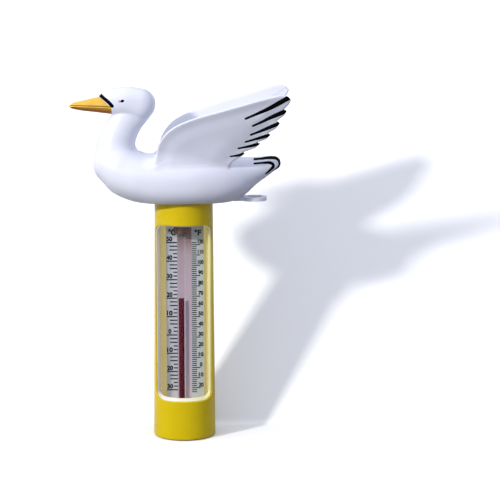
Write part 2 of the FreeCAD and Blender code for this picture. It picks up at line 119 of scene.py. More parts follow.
class Chain:
    """A body swept along the mirror plane. Each control row is x, z, in-plane radius and
    half width; power 2 gives round sections, more gives squarish ones."""

    BATCH = 20000

    def __init__(self, control, power, step=0.9):
        self.x, self.z, self.radius, self.half_width = catmull(control, step).T
        self.power = power

    def evaluate(self, x, y, z):
        """Approximate signed distance and its unit gradient."""
        count = len(x)
        dist = np.empty(count)
        grad = np.empty((count, 3))
        power = self.power
        inv_radius2 = 1 / self.radius ** 2
        inv_width = self.half_width ** -power
        abs_y = np.abs(y)
        y_power = abs_y ** power
        for first in range(0, count, self.BATCH):
            part = slice(first, min(count, first + self.BATCH))
            off_x = x[part, None] - self.x
            off_z = z[part, None] - self.z
            ratio2 = (off_x * off_x + off_z * off_z) * inv_radius2
            # the two common powers have quicker forms
            if power == 2.0:
                plane = ratio2
            elif power == 2.5:
                plane = ratio2 * np.sqrt(np.sqrt(ratio2))
            else:
                plane = ratio2 ** (power / 2)
            level = plane + y_power[part, None] * inv_width
            i = level.argmin(1)
            k = np.arange(len(i))
            lowest = np.maximum(level[k, i], 1e-6)
            pull = np.maximum(ratio2[k, i], 1e-9) ** (power / 2 - 1) * power * inv_radius2[i]
            grad_y = (power * np.maximum(abs_y[part], 1e-9) ** (power - 1) * inv_width[i]
                      * np.sign(y[part]))
            chain_rule = lowest ** (1 / power - 1) / power
            raw = np.stack([pull * off_x[k, i] * chain_rule, grad_y * chain_rule,
                            pull * off_z[k, i] * chain_rule], 1)
            length = np.maximum(np.linalg.norm(raw, axis=1), 1e-4)
            dist[part] = (lowest ** (1 / power) - 1) / length
            grad[part] = raw / length[:, None]
        return dist, grad


def smooth_min(dist_a, grad_a, dist_b, grad_b, reach, even=False):
    """Union with a fillet. Unless even, it fades out where both surfaces face the same way."""
    facing = np.ones(len(dist_a)) if even else np.clip(1 - (grad_a * grad_b).sum(1), 0, 1)
    reach = reach * facing + 1e-3
    h = np.clip(1 - np.abs(dist_a - dist_b) / reach, 0, 1)
    dist = np.minimum(dist_a, dist_b) - h * h * reach / 4
    weight = np.where(dist_a < dist_b, 1 - h / 2, h / 2)[:, None]
    grad = weight * grad_a + (1 - weight) * grad_b
    return dist, grad / np.maximum(np.linalg.norm(grad, axis=1), 1e-6)[:, None]


def smooth_max(dist_a, grad_a, dist_b, grad_b, reach):
    """Intersection with a rounded edge."""
    dist, grad = smooth_min(-dist_a, -grad_a, -dist_b, -grad_b, reach, True)
    return -dist, -grad


# ------------------------------------------------------------------ the swan's form
# rows of x, z, in-plane radius, half width
BODY = Chain([(-37.5, 150.5, 11.3, 15), (-33.5, 147.8, 12.3, 18), (-30, 145.5, 13, 19.5),
              (-22, 142.8, 13.2, 21.8), (-10, 141.1, 14, 23.2), (4, 141.3, 14.1, 22.8),
              (12, 141.5, 14.0, 21.2), (18, 141.8, 13.5, 19.2), (24, 142.6, 12.3, 16.3),
              (27, 143.3, 11.3, 14.6), (30, 144.2, 9.9, 12.8), (36, 146.4, 7.6, 9.6),
              (42, 148.5, 5.8, 7.1), (46, 150.1, 4.6, 5.7), (49.0, 150.9, 3.7, 4.8)], 2.5)
NECK = Chain([(-37, 154, 11.2, 12.5), (-36.7, 159.3, 10.6, 10.6), (-35.4, 164.9, 9.85, 9.2),
              (-32.4, 170.8, 9.0, 7.6), (-28.9, 175.4, 8.3, 6.4), (-25.6, 180, 8.6, 6.6)], 2.0)
HEAD = Chain([(-23.6, 182.8, 8.7, 8.0), (-30.3, 184.4, 7.9, 7.8), (-37, 184.1, 7.4, 6.6),
              (-41, 183.3, 5.9, 5.4), (-44.2, 182.6, 4.4, 4.3)], 2.25)

# wing outline, x and z: front edge, notched feather ends, and the foot inside the body
WING_FRONT = [(-13.6, 152), (-13.9, 157), (-13.2, 161.6), (-11.5, 165.4), (-8.8, 169),
              (-5.2, 172.2), (0, 175), (6, 177.4), (11.6, 179.2), (18.7, 181.2), (26.3, 183.5),
              (33.8, 185.7), (41.3, 188), (48.9, 190), (53, 190.5), (55.9, 189.8),
              (57.7, 187.9)]
FEATHER_ENDS = [(56.4, 185.4), (53.9, 182.7), (55.7, 181.8), (53.9, 179.2), (50.3, 176.4),
                (52, 175), (49.8, 171.9), (45.6, 169.5), (47.2, 168.6), (44.6, 166),
                (39.8, 164.3), (41.7, 163.6), (38.7, 161.1), (32.4, 158.8), (33.5, 158),
                (30.6, 156), (27.0, 153.6), (23.5, 149.5)]
WING_FOOT = [(18, 146.5), (4, 146.0), (-9, 147.5)]
WING_OUTLINE = np.vstack([catmull(WING_FRONT, 1.2), np.array(FEATHER_ENDS), WING_FOOT])

# feather lines: x and z points, half width at the start, half width at the feather's end
FEATHER_LINES = [
    ([(33.8, 177.7), (39.8, 180.4), (46.4, 183.5), (51.8, 186.6), (56.4, 189.3)], 0.62, 1.35),
    ([(37.6, 173.7), (42.4, 175.9), (46.4, 178), (50.8, 180), (55.7, 182.2)], 0.6, 1.25),
    ([(36.6, 168.7), (44, 171.7), (51.7, 175.1)], 0.58, 1.1),
    ([(33.8, 164.7), (40.3, 166.6), (47.2, 168.7)], 0.55, 1.0),
    ([(30, 161.1), (36.1, 162.3), (41.7, 163.8)], 0.55, 0.92),
    ([(25.8, 156.6), (30.2, 157.2), (33.5, 158.4)], 0.5, 0.85)]

# painted lines on tail and head, x and z
TAIL_LINE = [(38.4, 151.5), (43.2, 151.75), (47.0, 151.7), (48.6, 150.6), (48.5, 149.3),
             (46.6, 147.4), (44.7, 145.8)]
BILL_EDGE_LINE = [(-45.1, 188.6), (-43.7, 187.4), (-41.3, 185.7), (-39.2, 183.9),
                  (-37.9, 182.4)]
BILL_EDGE_HALF_WIDTH = 0.98
EYE_X, EYE_Z, EYE_TILT = -32.3, 185.2, 0.32
EYE_HALF_LENGTH, EYE_HALF_HEIGHT = 1.12, 0.72

# the wing's middle plane leans outwards by WING_FLARE over WING_RISE
WING_ROOT_Y, WING_ROOT_Z = 15, 152
WING_FLARE, WING_RISE = 15, 35.5
WING_HOLLOW = 1.3
LEAN = math.atan(WING_FLARE / WING_RISE)
WING_EDGE_RADIUS = 0.85

# seat of the bill: upright at SEAT_X, slanted above through (SEAT_TOP_X, SEAT_TOP_Z)
SEAT_X, SEAT_TOP_X, SEAT_TOP_Z = -38.3, -45.0, 187
SEAT_SLOPE, SEAT_SLOPE_LENGTH = 1.2, 1.562
SEAT_SLANT_NORMAL = [0.64, 0, 0.768]

UNDERSIDE_Z, HOLLOW_FLOOR_Z = 130.6, 132.7
WALL = 1.9
WING_PARTING = 1.2          # the wing is parted from the body this far off its surface
PAINT_DEPTH = 1.0           # body faces deeper than this stay unpainted

SURFACE_STEP = 0.5          # grid of the swan's surface
GRID_LOW = (-51.0, -SURFACE_STEP / 2, 128.5)
GRID_HIGH = (60.5, 35.0, 194.5)

# lattice of the wing's plane
LATTICE_X0, LATTICE_X1 = -30, 66.01
LATTICE_Z0, LATTICE_Z1 = 136, 200.01
LATTICE_STEP = 0.25


def wing_middle(x, z):
    """y of the wing's middle surface, slightly hollow on its outer face."""
    rise = (z - WING_ROOT_Z) / WING_RISE
    hollow = -WING_HOLLOW * np.sin(np.pi * np.clip(rise, 0, 1)) * smoothstep(x, -14, 12)
    return WING_ROOT_Y + WING_FLARE * rise + hollow


def wing_lattice():
    """Distance to the wing's outline and half thickness of its outer and inner side.
    The wing thins to the feather ends, has a rolled front edge, and a step below each line."""
    thin_end, thickening, thickening_depth = 0.95, 1.05, 11
    roll, roll_width = 0.55, 3.2
    step_outer, step_inner, step_fade, step_reach, lead_in = 0.42, 0.25, 2.2, 3.6, 5.0

    lattice_x, lattice_z = np.meshgrid(np.arange(LATTICE_X0, LATTICE_X1, LATTICE_STEP),
                                       np.arange(LATTICE_Z0, LATTICE_Z1, LATTICE_STEP),
                                       indexing="ij")
    x, z = lattice_x.ravel(), lattice_z.ravel()
    outline = polygon_distance(x, z, WING_OUTLINE)
    half = thin_end + thickening * smoothstep(np.maximum(-outline, 0), 0.0, thickening_depth)
    half = half + roll * np.exp(-(line_distance(x, z, WING_FRONT)[0] / roll_width) ** 2)
    groove = np.zeros(len(x))
    for points, _, _ in FEATHER_LINES:
        points = np.array(points, float)
        heading = points[0] - points[1]
        before = points[0] + heading / np.linalg.norm(heading) * lead_in
        dist, side, along = line_distance(x, z, np.vstack([before, points]))
        depth = np.where(side < 0, np.exp(-dist / step_fade), 0) * smoothstep(along, 0.05, 0.6)
        groove = np.maximum(groove, depth * smoothstep(step_reach - dist, 0, 1.2))
    fields = [outline, half - step_outer * groove, half - step_inner * groove]
    return np.stack(fields, 1).reshape(lattice_x.shape + (3,))


WING_LATTICE = wing_lattice()


def wing_lookup(x, z):
    """The lattice's three fields at x, z, read bilinearly."""
    table = WING_LATTICE
    u = np.clip((x - LATTICE_X0) / LATTICE_STEP, 0, table.shape[0] - 1.001)
    v = np.clip((z - LATTICE_Z0) / LATTICE_STEP, 0, table.shape[1] - 1.001)
    i, j = u.astype(int), v.astype(int)
    part_u, part_v = (u - i)[:, None], (v - j)[:, None]
    return ((table[i, j] * (1 - part_v) + table[i, j + 1] * part_v) * (1 - part_u)
            + (table[i + 1, j] * (1 - part_v) + table[i + 1, j + 1] * part_v) * part_u).T


def wing(x, y, z):
    """Signed distance to the wing, a leaning plate with rounded edges."""
    off = (y - wing_middle(x, z)) * math.cos(LEAN)
    outline, half_outer, half_inner = wing_lookup(x, z)
    half = np.where(off > 0, half_outer, half_inner)
    across = outline + WING_EDGE_RADIUS
    through = np.abs(off) - (half - WING_EDGE_RADIUS)
    return (np.minimum(np.maximum(across, through), 0)
            + np.hypot(np.maximum(across, 0), np.maximum(through, 0)) - WING_EDGE_RADIUS)


def numeric_gradient(field, x, y, z, h=0.06):
    grad = np.stack([field(x + h, y, z) - field(x - h, y, z),
                     field(x, y + h, z) - field(x, y - h, z),
                     field(x, y, z + h) - field(x, y, z - h)], 1)
    return grad / np.maximum(np.linalg.norm(grad, axis=1), 1e-9)[:, None]


def repeat_vector(count, vector):
    return np.tile(np.array(vector, float), (count, 1))


def body_only(x, y, z):
    """Body, neck and head without the wing, with the seat for the bill."""
    neck_fillet, head_fillet, seat_edge = 6.0, 1.1, 0.25
    dist = np.full(len(x), 40.0)
    grad = repeat_vector(len(x), (0, 0, 1))
    m = z < 172
    if m.any():
        dist[m], grad[m] = BODY.evaluate(x[m], y[m], z[m])
    m = (x < -8) & (z > 138)
    if m.any():
        neck = NECK.evaluate(x[m], y[m], z[m])
        dist[m], grad[m] = smooth_min(dist[m], grad[m], *neck, neck_fillet)
    m = (x < -6) & (z > 166)
    if m.any():
        head = HEAD.evaluate(x[m], y[m], z[m])
        upright = x[m] - SEAT_X
        slanted = (x[m] - SEAT_TOP_X - SEAT_SLOPE * (SEAT_TOP_Z - z[m])) / SEAT_SLOPE_LENGTH
        seat = np.maximum(upright, slanted)
        seat_grad = np.where((upright > slanted)[:, None], [1.0, 0, 0], SEAT_SLANT_NORMAL)
        head = smooth_max(*head, -seat, -seat_grad, seat_edge)
        dist[m], grad[m] = smooth_min(dist[m], grad[m], *head, head_fillet)
    return dist, grad


def swan(x, y, z):
    """Distance and gradient of the hollow swan with its wings, cut flat below."""
    fillet_rear, fillet_more_front = 2.2, 6.2
    wing_band = 12
    underside_edge, hollow_edge = 0.7, 0.5

    mirror = np.where(y < 0, -1.0, 1.0)
    y = np.abs(y)
    down = repeat_vector(len(x), (0, 0, -1))
    dist, grad = body_only(x, y, z)
    body_dist, body_grad = dist.copy(), grad.copy()
    m = (x > -24) & (z > 140) & (y > 4)
    if m.any():
        wing_x, wing_y, wing_z = x[m], y[m], z[m]
        wing_dist = wing(wing_x, wing_y, wing_z)
        wing_grad = repeat_vector(len(wing_x), (0, 1, 0))
        near = np.abs(wing_dist) < wing_band
        if near.any():
            wing_grad[near] = numeric_gradient(wing, wing_x[near], wing_y[near], wing_z[near])
        fillet = fillet_rear + fillet_more_front * (1 - smoothstep(wing_x, -8, 27))
        dist[m], grad[m] = smooth_min(dist[m], grad[m], wing_dist, wing_grad, fillet)
    dist, grad = smooth_max(dist, grad, UNDERSIDE_Z - z, down, underside_edge)
    # the hollow leaves a wall all round and a floor
    hollow, hollow_grad = smooth_max(body_dist + WALL, body_grad, HOLLOW_FLOOR_Z - z, down,
                                     hollow_edge)
    carved = -hollow > dist
    dist = np.where(carved, -hollow, dist)
    grad = np.where(carved[:, None], -hollow_grad, grad)
    grad[:, 1] *= mirror
    return dist, grad


# ------------------------------------------------------------------ from field to triangles
def field_on_grid(field, low, high, step, band=3.2):
    """field on a fine grid, worked out only within band of its surface."""
    coarse = 4
    counts = [int(math.ceil((high[i] - low[i]) / step / coarse)) * coarse + 1
              for i in range(3)]
    axes = [low[i] + step * np.arange(counts[i]) for i in range(3)]
    x, y, z = np.meshgrid(*(axis[::coarse] for axis in axes), indexing="ij")
    rough = field(x.ravel(), y.ravel(), z.ravel())[0].reshape(x.shape)

    def refine(values):
        return values.repeat(coarse, 0).repeat(coarse, 1).repeat(coarse, 2)

    values = refine(rough)[:counts[0], :counts[1], :counts[2]].copy()
    near = refine(np.abs(rough) < band)
    wanted = np.zeros(values.shape, bool)
    # each coarse node answers for the cells around it
    for i in (0, 2, 4):
        for j in (0, 2, 4):
            for k in (0, 2, 4):
                moved = near[i:, j:, k:][:counts[0], :counts[1], :counts[2]]
                wanted[:moved.shape[0], :moved.shape[1], :moved.shape[2]] |= moved
    at = np.argwhere(wanted)
    values[tuple(at.T)] = field(axes[0][at[:, 0]], axes[1][at[:, 1]], axes[2][at[:, 2]])[0]
    return values


def surface_nets(values, origin, step):
    """Vertices and quads of the zero surface: one vertex per crossed cell."""
    inside = values < 0
    size = np.array(values.shape) - 1
    corners = [(i, j, k) for i in (0, 1) for j in (0, 1) for k in (0, 1)]
    filled = np.zeros(tuple(size), np.int8)
    for i, j, k in corners:
        filled += inside[i:size[0] + i, j:size[1] + j, k:size[2] + k]
    crossed = (filled > 0) & (filled < 8)
    index = np.full(crossed.shape, -1, np.int64)
    cells = np.argwhere(crossed)
    index[crossed] = np.arange(len(cells))

    # a cell's vertex is the mean of the crossings on its edges
    total = np.zeros((len(cells), 3))
    hits = np.zeros(len(cells))
    for start in corners:
        for axis in range(3):
            if start[axis]:
                continue
            end = list(start)
            end[axis] = 1
            at_start = values[tuple((cells + start).T)]
            at_end = values[tuple((cells + end).T)]
            cuts = (at_start < 0) != (at_end < 0)
            gap = np.where(at_start == at_end, 1, at_start - at_end)
            t = np.where(cuts, at_start / gap, 0)
            point = np.array(start, float) + t[:, None] * (np.array(end) - np.array(start))
            total[cuts] += point[cuts]
            hits[cuts] += 1
    vertices = origin + step * (cells + total / hits[:, None])

    # a quad round every crossed grid edge
    quads = []
    for axis in range(3):
        lower = [slice(None)] * 3
        upper = [slice(None)] * 3
        lower[axis] = slice(0, -1)
        upper[axis] = slice(1, None)
        starts_inside = inside[tuple(lower)]
        edges = np.argwhere(starts_inside != inside[tuple(upper)])
        u, v = (axis + 1) % 3, (axis + 2) % 3
        edges = edges[(edges[:, u] >= 1) & (edges[:, v] >= 1)
                      & (edges[:, u] < size[u]) & (edges[:, v] < size[v])]
        outward = starts_inside[tuple(edges.T)]
        ring = []
        for step_u, step_v in ((-1, -1), (0, -1), (0, 0), (-1, 0)):
            cell = edges.copy()
            cell[:, u] += step_u
            cell[:, v] += step_v
            ring.append(index[tuple(cell.T)])
        quad = np.stack(ring, 1)
        quad[~outward] = quad[~outward][:, ::-1]
        quads.append(quad)
    return vertices, np.vstack(quads)


def project(field, vertices, times, cap=0.35):
    """Moves vertices onto the surface; those on the mirror plane stay on it."""
    for _ in range(times):
        dist, grad = field(*vertices.T)
        move = -np.clip(dist, -cap, cap)[:, None] * grad
        move[np.abs(vertices[:, 1]) < 1e-6, 1] = 0
        vertices = vertices + move
    return vertices


def relax(vertices, quads, amount=0.5):
    """Evens out the cells by one pass; vertices on the sheet's open edges stay put."""
    edges = np.vstack([quads[:, [0, 1]], quads[:, [1, 2]], quads[:, [2, 3]], quads[:, [3, 0]]])
    edges, uses = np.unique(np.sort(edges, 1), axis=0, return_counts=True)
    border = np.zeros(len(vertices), bool)
    border[edges[uses == 1].ravel()] = True
    total = np.zeros_like(vertices)
    count = np.zeros(len(vertices))
    for i, j in ((0, 1), (1, 0)):
        np.add.at(total, edges[:, i], vertices[edges[:, j]])
        np.add.at(count, edges[:, i], 1)
    mean = total / np.maximum(count, 1)[:, None]
    moved = vertices + amount * (mean - vertices)
    moved[border] = vertices[border]
    return moved


def shorter_diagonals(vertices, quads):
    """Two triangles per quad, along its shorter diagonal."""
    def diagonal(i, j):
        return np.linalg.norm(vertices[quads[:, i]] - vertices[quads[:, j]], axis=1)

    other = diagonal(1, 3) < diagonal(0, 2)
    usual, turned = quads[~other], quads[other]
    return np.vstack([usual[:, [0, 1, 2]], usual[:, [0, 2, 3]],
                      turned[:, [0, 1, 3]], turned[:, [1, 2, 3]]])


def split_along(vertices, triangles, level):
    """Cuts the triangles along level = 0. Returns the vertices with the new ones last,
    the triangles, and the side of each, +1 or -1."""
    positive = level >= 0
    corner_positive = positive[triangles]
    count = corner_positive.sum(1)
    cross = (count > 0) & (count < 3)
    cut = triangles[cross]
    cut_positive = corner_positive[cross]
    # each is turned so that its odd corner comes first
    odd = np.where(count[cross] == 1, cut_positive.argmax(1), (~cut_positive).argmax(1))
    k = np.arange(len(cut))
    tip, left_foot, right_foot = (cut[k, (odd + i) % 3] for i in range(3))
    edges = np.vstack([np.stack([tip, left_foot], 1), np.stack([tip, right_foot], 1)])
    edges, inverse = np.unique(np.sort(edges, 1), axis=0, return_inverse=True)
    inverse = inverse.reshape(-1)
    start, end = edges.T
    t = np.clip(level[start] / (level[start] - level[end]), 0.02, 0.98)
    added = vertices[start] + t[:, None] * (vertices[end] - vertices[start])
    left_cut = len(vertices) + inverse[:len(cut)]
    right_cut = len(vertices) + inverse[len(cut):]
    tip_side = np.where(positive[tip], 1, -1)
    pieces = [triangles[~cross], np.stack([tip, left_cut, right_cut], 1),
              np.stack([left_cut, left_foot, right_foot], 1),
              np.stack([left_cut, right_foot, right_cut], 1)]
    sides = [np.where(count[~cross] == 3, 1, -1), tip_side, -tip_side, -tip_side]
    return np.vstack([vertices, added]), np.vstack(pieces), np.concatenate(sides)


# ------------------------------------------------------------------ black paint on the swan
UNPAINTED = 9.0


def stroke(x, z, points, half_width_start, half_width_end):
    """Below 0 inside a line that changes width along its length."""
    dist, _, along = line_distance(x, z, catmull(points, 1.0))
    growth = smoothstep(along, 0.0, 0.85)
    return dist - (half_width_start + (half_width_end - half_width_start) * growth)


def wing_paint(x, y, z):
    """Below 0 on the feather lines, which lie on the outer face and its edge."""
    paint = np.full(len(x), UNPAINTED)
    m = (x > 20) & (z > 152)
    for points, start, end in FEATHER_LINES:
        paint[m] = np.minimum(paint[m], stroke(x[m], z[m], points, start, end))
    outer = (np.abs(y) - wing_middle(x, z)) * math.cos(LEAN)
    return np.maximum(paint, -(outer + 0.35))


def body_paint(x, y, z):
    """Below 0 on the tail's two lines, the edge of the bill, and the eye."""
    paint = np.full(len(x), UNPAINTED)
    m = (x > 34) & (z > 140)
    dist, _, along = line_distance(x[m], z[m], catmull(TAIL_LINE, 1.0))
    half_width = (0.5 + 0.3 * smoothstep(along, 0.15, 0.55)
                  - 0.32 * smoothstep(along, 0.72, 1.0))
    paint[m] = np.minimum(paint[m], dist - half_width)
    # the outer line follows the tail's rim
    rim = BODY.evaluate(x[m], np.zeros(m.sum()), z[m])[0]
    half_width = ((0.46 + 0.16 * smoothstep(x[m], 40, 48))
                  * (0.3 + 0.7 * smoothstep(z[m], 147.0, 149.8)))
    ends = np.maximum(38.0 - x[m], 145.2 - z[m])
    paint[m] = np.minimum(paint[m], np.maximum(np.abs(rim + 0.62) - half_width, ends))
    m = (x < -34) & (z > 178)
    paint[m] = np.minimum(paint[m], stroke(x[m], z[m], BILL_EDGE_LINE,
                                           BILL_EDGE_HALF_WIDTH, BILL_EDGE_HALF_WIDTH))
    m = (np.abs(x - EYE_X) < 4) & (np.abs(z - EYE_Z) < 4) & (np.abs(y) > 2)
    cosine, sine = math.cos(EYE_TILT), math.sin(EYE_TILT)
    u = (x[m] - EYE_X) * cosine + (z[m] - EYE_Z) * sine
    v = -(x[m] - EYE_X) * sine + (z[m] - EYE_Z) * cosine
    oval = np.sqrt((u / EYE_HALF_LENGTH) ** 2 + (v / EYE_HALF_HEIGHT) ** 2)
    paint[m] = np.minimum(paint[m], (oval - 1) * 0.75)
    return paint


def shape_swan():
    """Body and wing on the +y side. Each is its vertices, triangles, which triangles are
    black, and which vertices lie on the parting line."""
    vertices, quads = surface_nets(
        field_on_grid(swan, GRID_LOW, GRID_HIGH, SURFACE_STEP), np.array(GRID_LOW),
        SURFACE_STEP)
    vertices[vertices[:, 1] < 0.02 * SURFACE_STEP, 1] = 0
    vertices = project(swan, vertices, 2)
    for _ in range(2):
        vertices = project(swan, relax(vertices, quads), 1)
    triangles = shorter_diagonals(vertices, quads)

    # wing and body are separate mouldings
    x, y, z = vertices.T
    body_dist = body_only(x, np.abs(y), z)[0]
    wing_region = (x > -20) & (z > 146) & (y > 8)
    level = np.where(wing_region, body_dist - WING_PARTING, -5.0)
    first_cut = len(vertices)
    vertices, triangles, side = split_along(vertices, triangles, level)

    parts = {}
    for part, sign, paint in (("wing", 1, wing_paint), ("body", -1, body_paint)):
        kept, inverse = np.unique(triangles[side == sign].ravel(), return_inverse=True)
        points, faces, paint_side = split_along(vertices[kept], inverse.reshape(-1, 3),
                                                paint(*vertices[kept].T))
        black = paint_side < 0
        if part == "body":
            # inner faces of the hollow body stay plain
            black &= body_only(*points[faces].mean(1).T)[0] > -PAINT_DEPTH
        on_parting = np.zeros(len(points), bool)
        on_parting[:len(kept)] = kept >= first_cut
        parts[part] = (points, faces, black, on_parting)
    return parts


# ------------------------------------------------------------------ mesh helpers
def new_mesh(name, vertices, faces, scale=MM):
    mesh = bpy.data.meshes.new(name)
    mesh.from_pydata((np.asarray(vertices, float) * scale).tolist(), [],
                     [list(map(int, face)) for face in faces])
    mesh.update()
    ob = bpy.data.objects.new(name, mesh)
    bpy.context.scene.collection.objects.link(ob)
    return ob


def smooth(ob, degrees):
    """Smooth shading, with edges sharper than the angle kept sharp."""
    mesh = ob.data
    mesh.polygons.foreach_set("use_smooth", [True] * len(mesh.polygons))
    mesh.set_sharp_from_angle(angle=math.radians(degrees))


def face_outwards(ob):
    bm = bmesh.new()
    bm.from_mesh(ob.data)
    bmesh.ops.recalc_face_normals(bm, faces=bm.faces)
    bm.to_mesh(ob.data)
    bm.free()


def fill_open_edges(bm, picked):
    """Closes the open loops whose vertices are all picked."""
    edges = [e for e in bm.edges if e.is_boundary and all(picked(v) for v in e.verts)]
    if edges:
        bmesh.ops.triangle_fill(bm, use_beauty=True, use_dissolve=False, edges=edges)


def cut_away(ob, cutter):
    modifier = ob.modifiers.new("cut", "BOOLEAN")
    modifier.operation = "DIFFERENCE"
    modifier.solver = "EXACT"
    modifier.object = cutter
    depsgraph = bpy.context.evaluated_depsgraph_get()
    mesh = bpy.data.meshes.new_from_object(ob.evaluated_get(depsgraph))
    ob.modifiers.clear()
    old = ob.data
    ob.data = mesh
    bpy.data.meshes.remove(old)
    bpy.data.objects.remove(cutter)


def mirrored(ob, name):
    """A copy on the other side of y = 0."""
    mesh = ob.data.copy()
    mesh.name = name
    coords = np.zeros(len(mesh.vertices) * 3, np.float32)
    mesh.vertices.foreach_get("co", coords)
    coords[1::3] *= -1
    mesh.vertices.foreach_set("co", coords)
    mesh.flip_normals()
    mesh.update()
    copy = bpy.data.objects.new(name, mesh)
    bpy.context.scene.collection.objects.link(copy)
    return copy


# ------------------------------------------------------------------ material helpers
MATERIALS = {}
NOISE_LOW, NOISE_HIGH = 0.3, 0.7    # the part of a noise's range that is spread out


def rgb(red, green, blue):
    return (red, green, blue, 1)


def srgb(red, green, blue):
    """A colour of 0 to 255 levels as linear values."""
    def linear(level):
        level /= 255.0
        return level / 12.92 if level <= 0.04045 else ((level + 0.055) / 1.055) ** 2.4
    return rgb(linear(red), linear(green), linear(blue))


def add_node(tree, kind, **settings):
    """A node with each setting given to its input of that name, or else to its property."""
    node = tree.nodes.new(kind)
    for key, value in settings.items():
        if key in node.inputs:
            node.inputs[key].default_value = value
        else:
            setattr(node, key, value)
    return node


def feed(tree, socket, value):
    if isinstance(value, bpy.types.NodeSocket):
        tree.links.new(value, socket)
    else:
        socket.default_value = value


def separate(tree, vector):
    node = add_node(tree, "ShaderNodeSeparateXYZ")
    tree.links.new(vector, node.inputs[0])
    return node.outputs


def remap(tree, value, source, target, clamp=True):
    """Carries the range source over to the range target."""
    node = add_node(tree, "ShaderNodeMapRange", clamp=clamp)
    for socket, limit in zip(node.inputs[1:5], (*source, *target)):
        socket.default_value = limit
    tree.links.new(value, node.inputs[0])
    return node.outputs[0]


def color_ramp(tree, factor, stops):
    node = add_node(tree, "ShaderNodeValToRGB")
    elements = node.color_ramp.elements
    while len(elements) < len(stops):
        elements.new(0.5)
    for element, (position, color) in zip(elements, stops):
        element.position = position
        element.color = color
    tree.links.new(factor, node.inputs[0])
    return node.outputs[0]


def mix_shaders(tree, factor, first, second):
    node = add_node(tree, "ShaderNodeMixShader")
    for socket, source in zip(node.inputs, (factor, first, second)):
        tree.links.new(source, socket)
    return node.outputs[0]


def new_material(name):
    """An empty material: its tree and the input of its output node."""
    material = bpy.data.materials.new(name)
    material.use_nodes = True
    tree = material.node_tree
    tree.nodes.clear()
    MATERIALS[name] = material
    return tree, add_node(tree, "ShaderNodeOutputMaterial").inputs[0]


class Shader:
    """A principled material under construction."""

    SOCKETS = {"color": "Base Color", "rough": "Roughness", "ior": "IOR",
               "coat": "Coat Weight", "coat_rough": "Coat Roughness",
               "trans": "Transmission Weight", "metal": "Metallic",
               "sss": "Subsurface Weight", "sss_scale": "Subsurface Scale",
               "sss_radius": "Subsurface Radius", "spec": "Specular IOR Level",
               "spec_tint": "Specular Tint", "emit": "Emission Color",
               "emit_strength": "Emission Strength"}

    def __init__(self, name):
        self.tree, self.output = new_material(name)
        self.principled = self.node("ShaderNodeBsdfPrincipled")
        self.link(self.principled.outputs[0], self.output)
        self.coord = self.node("ShaderNodeTexCoord").outputs["Object"]

    def node(self, kind, **settings):
        return add_node(self.tree, kind, **settings)

    def link(self, source, socket):
        self.tree.links.new(source, socket)

    def remap(self, value, source, target, clamp=True):
        return remap(self.tree, value, source, target, clamp)

    def ramp(self, factor, *stops):
        return color_ramp(self.tree, factor, stops)

    def noise(self, scale, detail):
        node = self.node("ShaderNodeTexNoise", Scale=scale, Detail=detail)
        self.link(self.coord, node.inputs["Vector"])
        return node.outputs["Fac"]

    def mottle(self, scale, detail, low, high):
        """A colour that wanders between two."""
        return self.ramp(self.noise(scale, detail), (NOISE_LOW, low), (NOISE_HIGH, high))

    def vary(self, scale, detail, low, high):
        """A value that wanders between two."""
        return self.remap(self.noise(scale, detail), (NOISE_LOW, NOISE_HIGH), (low, high))

    def along(self, axis, start, end):
        """0 to 1 between two places, in metres, along an object axis."""
        return self.remap(separate(self.tree, self.coord)[axis], (start, end), (0.0, 1.0))

    def mix(self, factor, first, second):
        node = self.node("ShaderNodeMix", data_type="RGBA")
        for i, value in ((0, factor), (6, first), (7, second)):
            feed(self.tree, node.inputs[i], value)
        return node.outputs[2]

    def bump(self, height, strength, distance):
        node = self.node("ShaderNodeBump", Strength=strength, Distance=distance)
        self.link(height, node.inputs["Height"])
        self.link(node.outputs[0], self.principled.inputs["Normal"])

    def grain(self, scale, strength, distance, detail=2):
        self.bump(self.noise(scale, detail), strength, distance)

    def set(self, **values):
        for key, value in values.items():
            feed(self.tree, self.principled.inputs[self.SOCKETS[key]], value)

    def see_through(self, tint):
        """Shadow and diffuse bounce rays pass straight through, dimmed by the tint."""
        ray = self.node("ShaderNodeLightPath").outputs
        either = self.node("ShaderNodeMath", operation="MAXIMUM")
        self.link(ray["Is Shadow Ray"], either.inputs[0])
        self.link(ray["Is Diffuse Ray"], either.inputs[1])
        clear = self.node("ShaderNodeBsdfTransparent", Color=tint)
        mixed = mix_shaders(self.tree, either.outputs[0], self.principled.outputs[0],
                            clear.outputs[0])
        self.link(mixed, self.output)


def plain_material(name, tone, gloss, grain=None, **surface):
    """Mottled colour (tone), uneven roughness (gloss), and a fine bump (grain)."""
    shader = Shader(name)
    shader.set(color=shader.mottle(**tone), rough=shader.vary(**gloss), **surface)
    if grain:
        shader.grain(**grain)


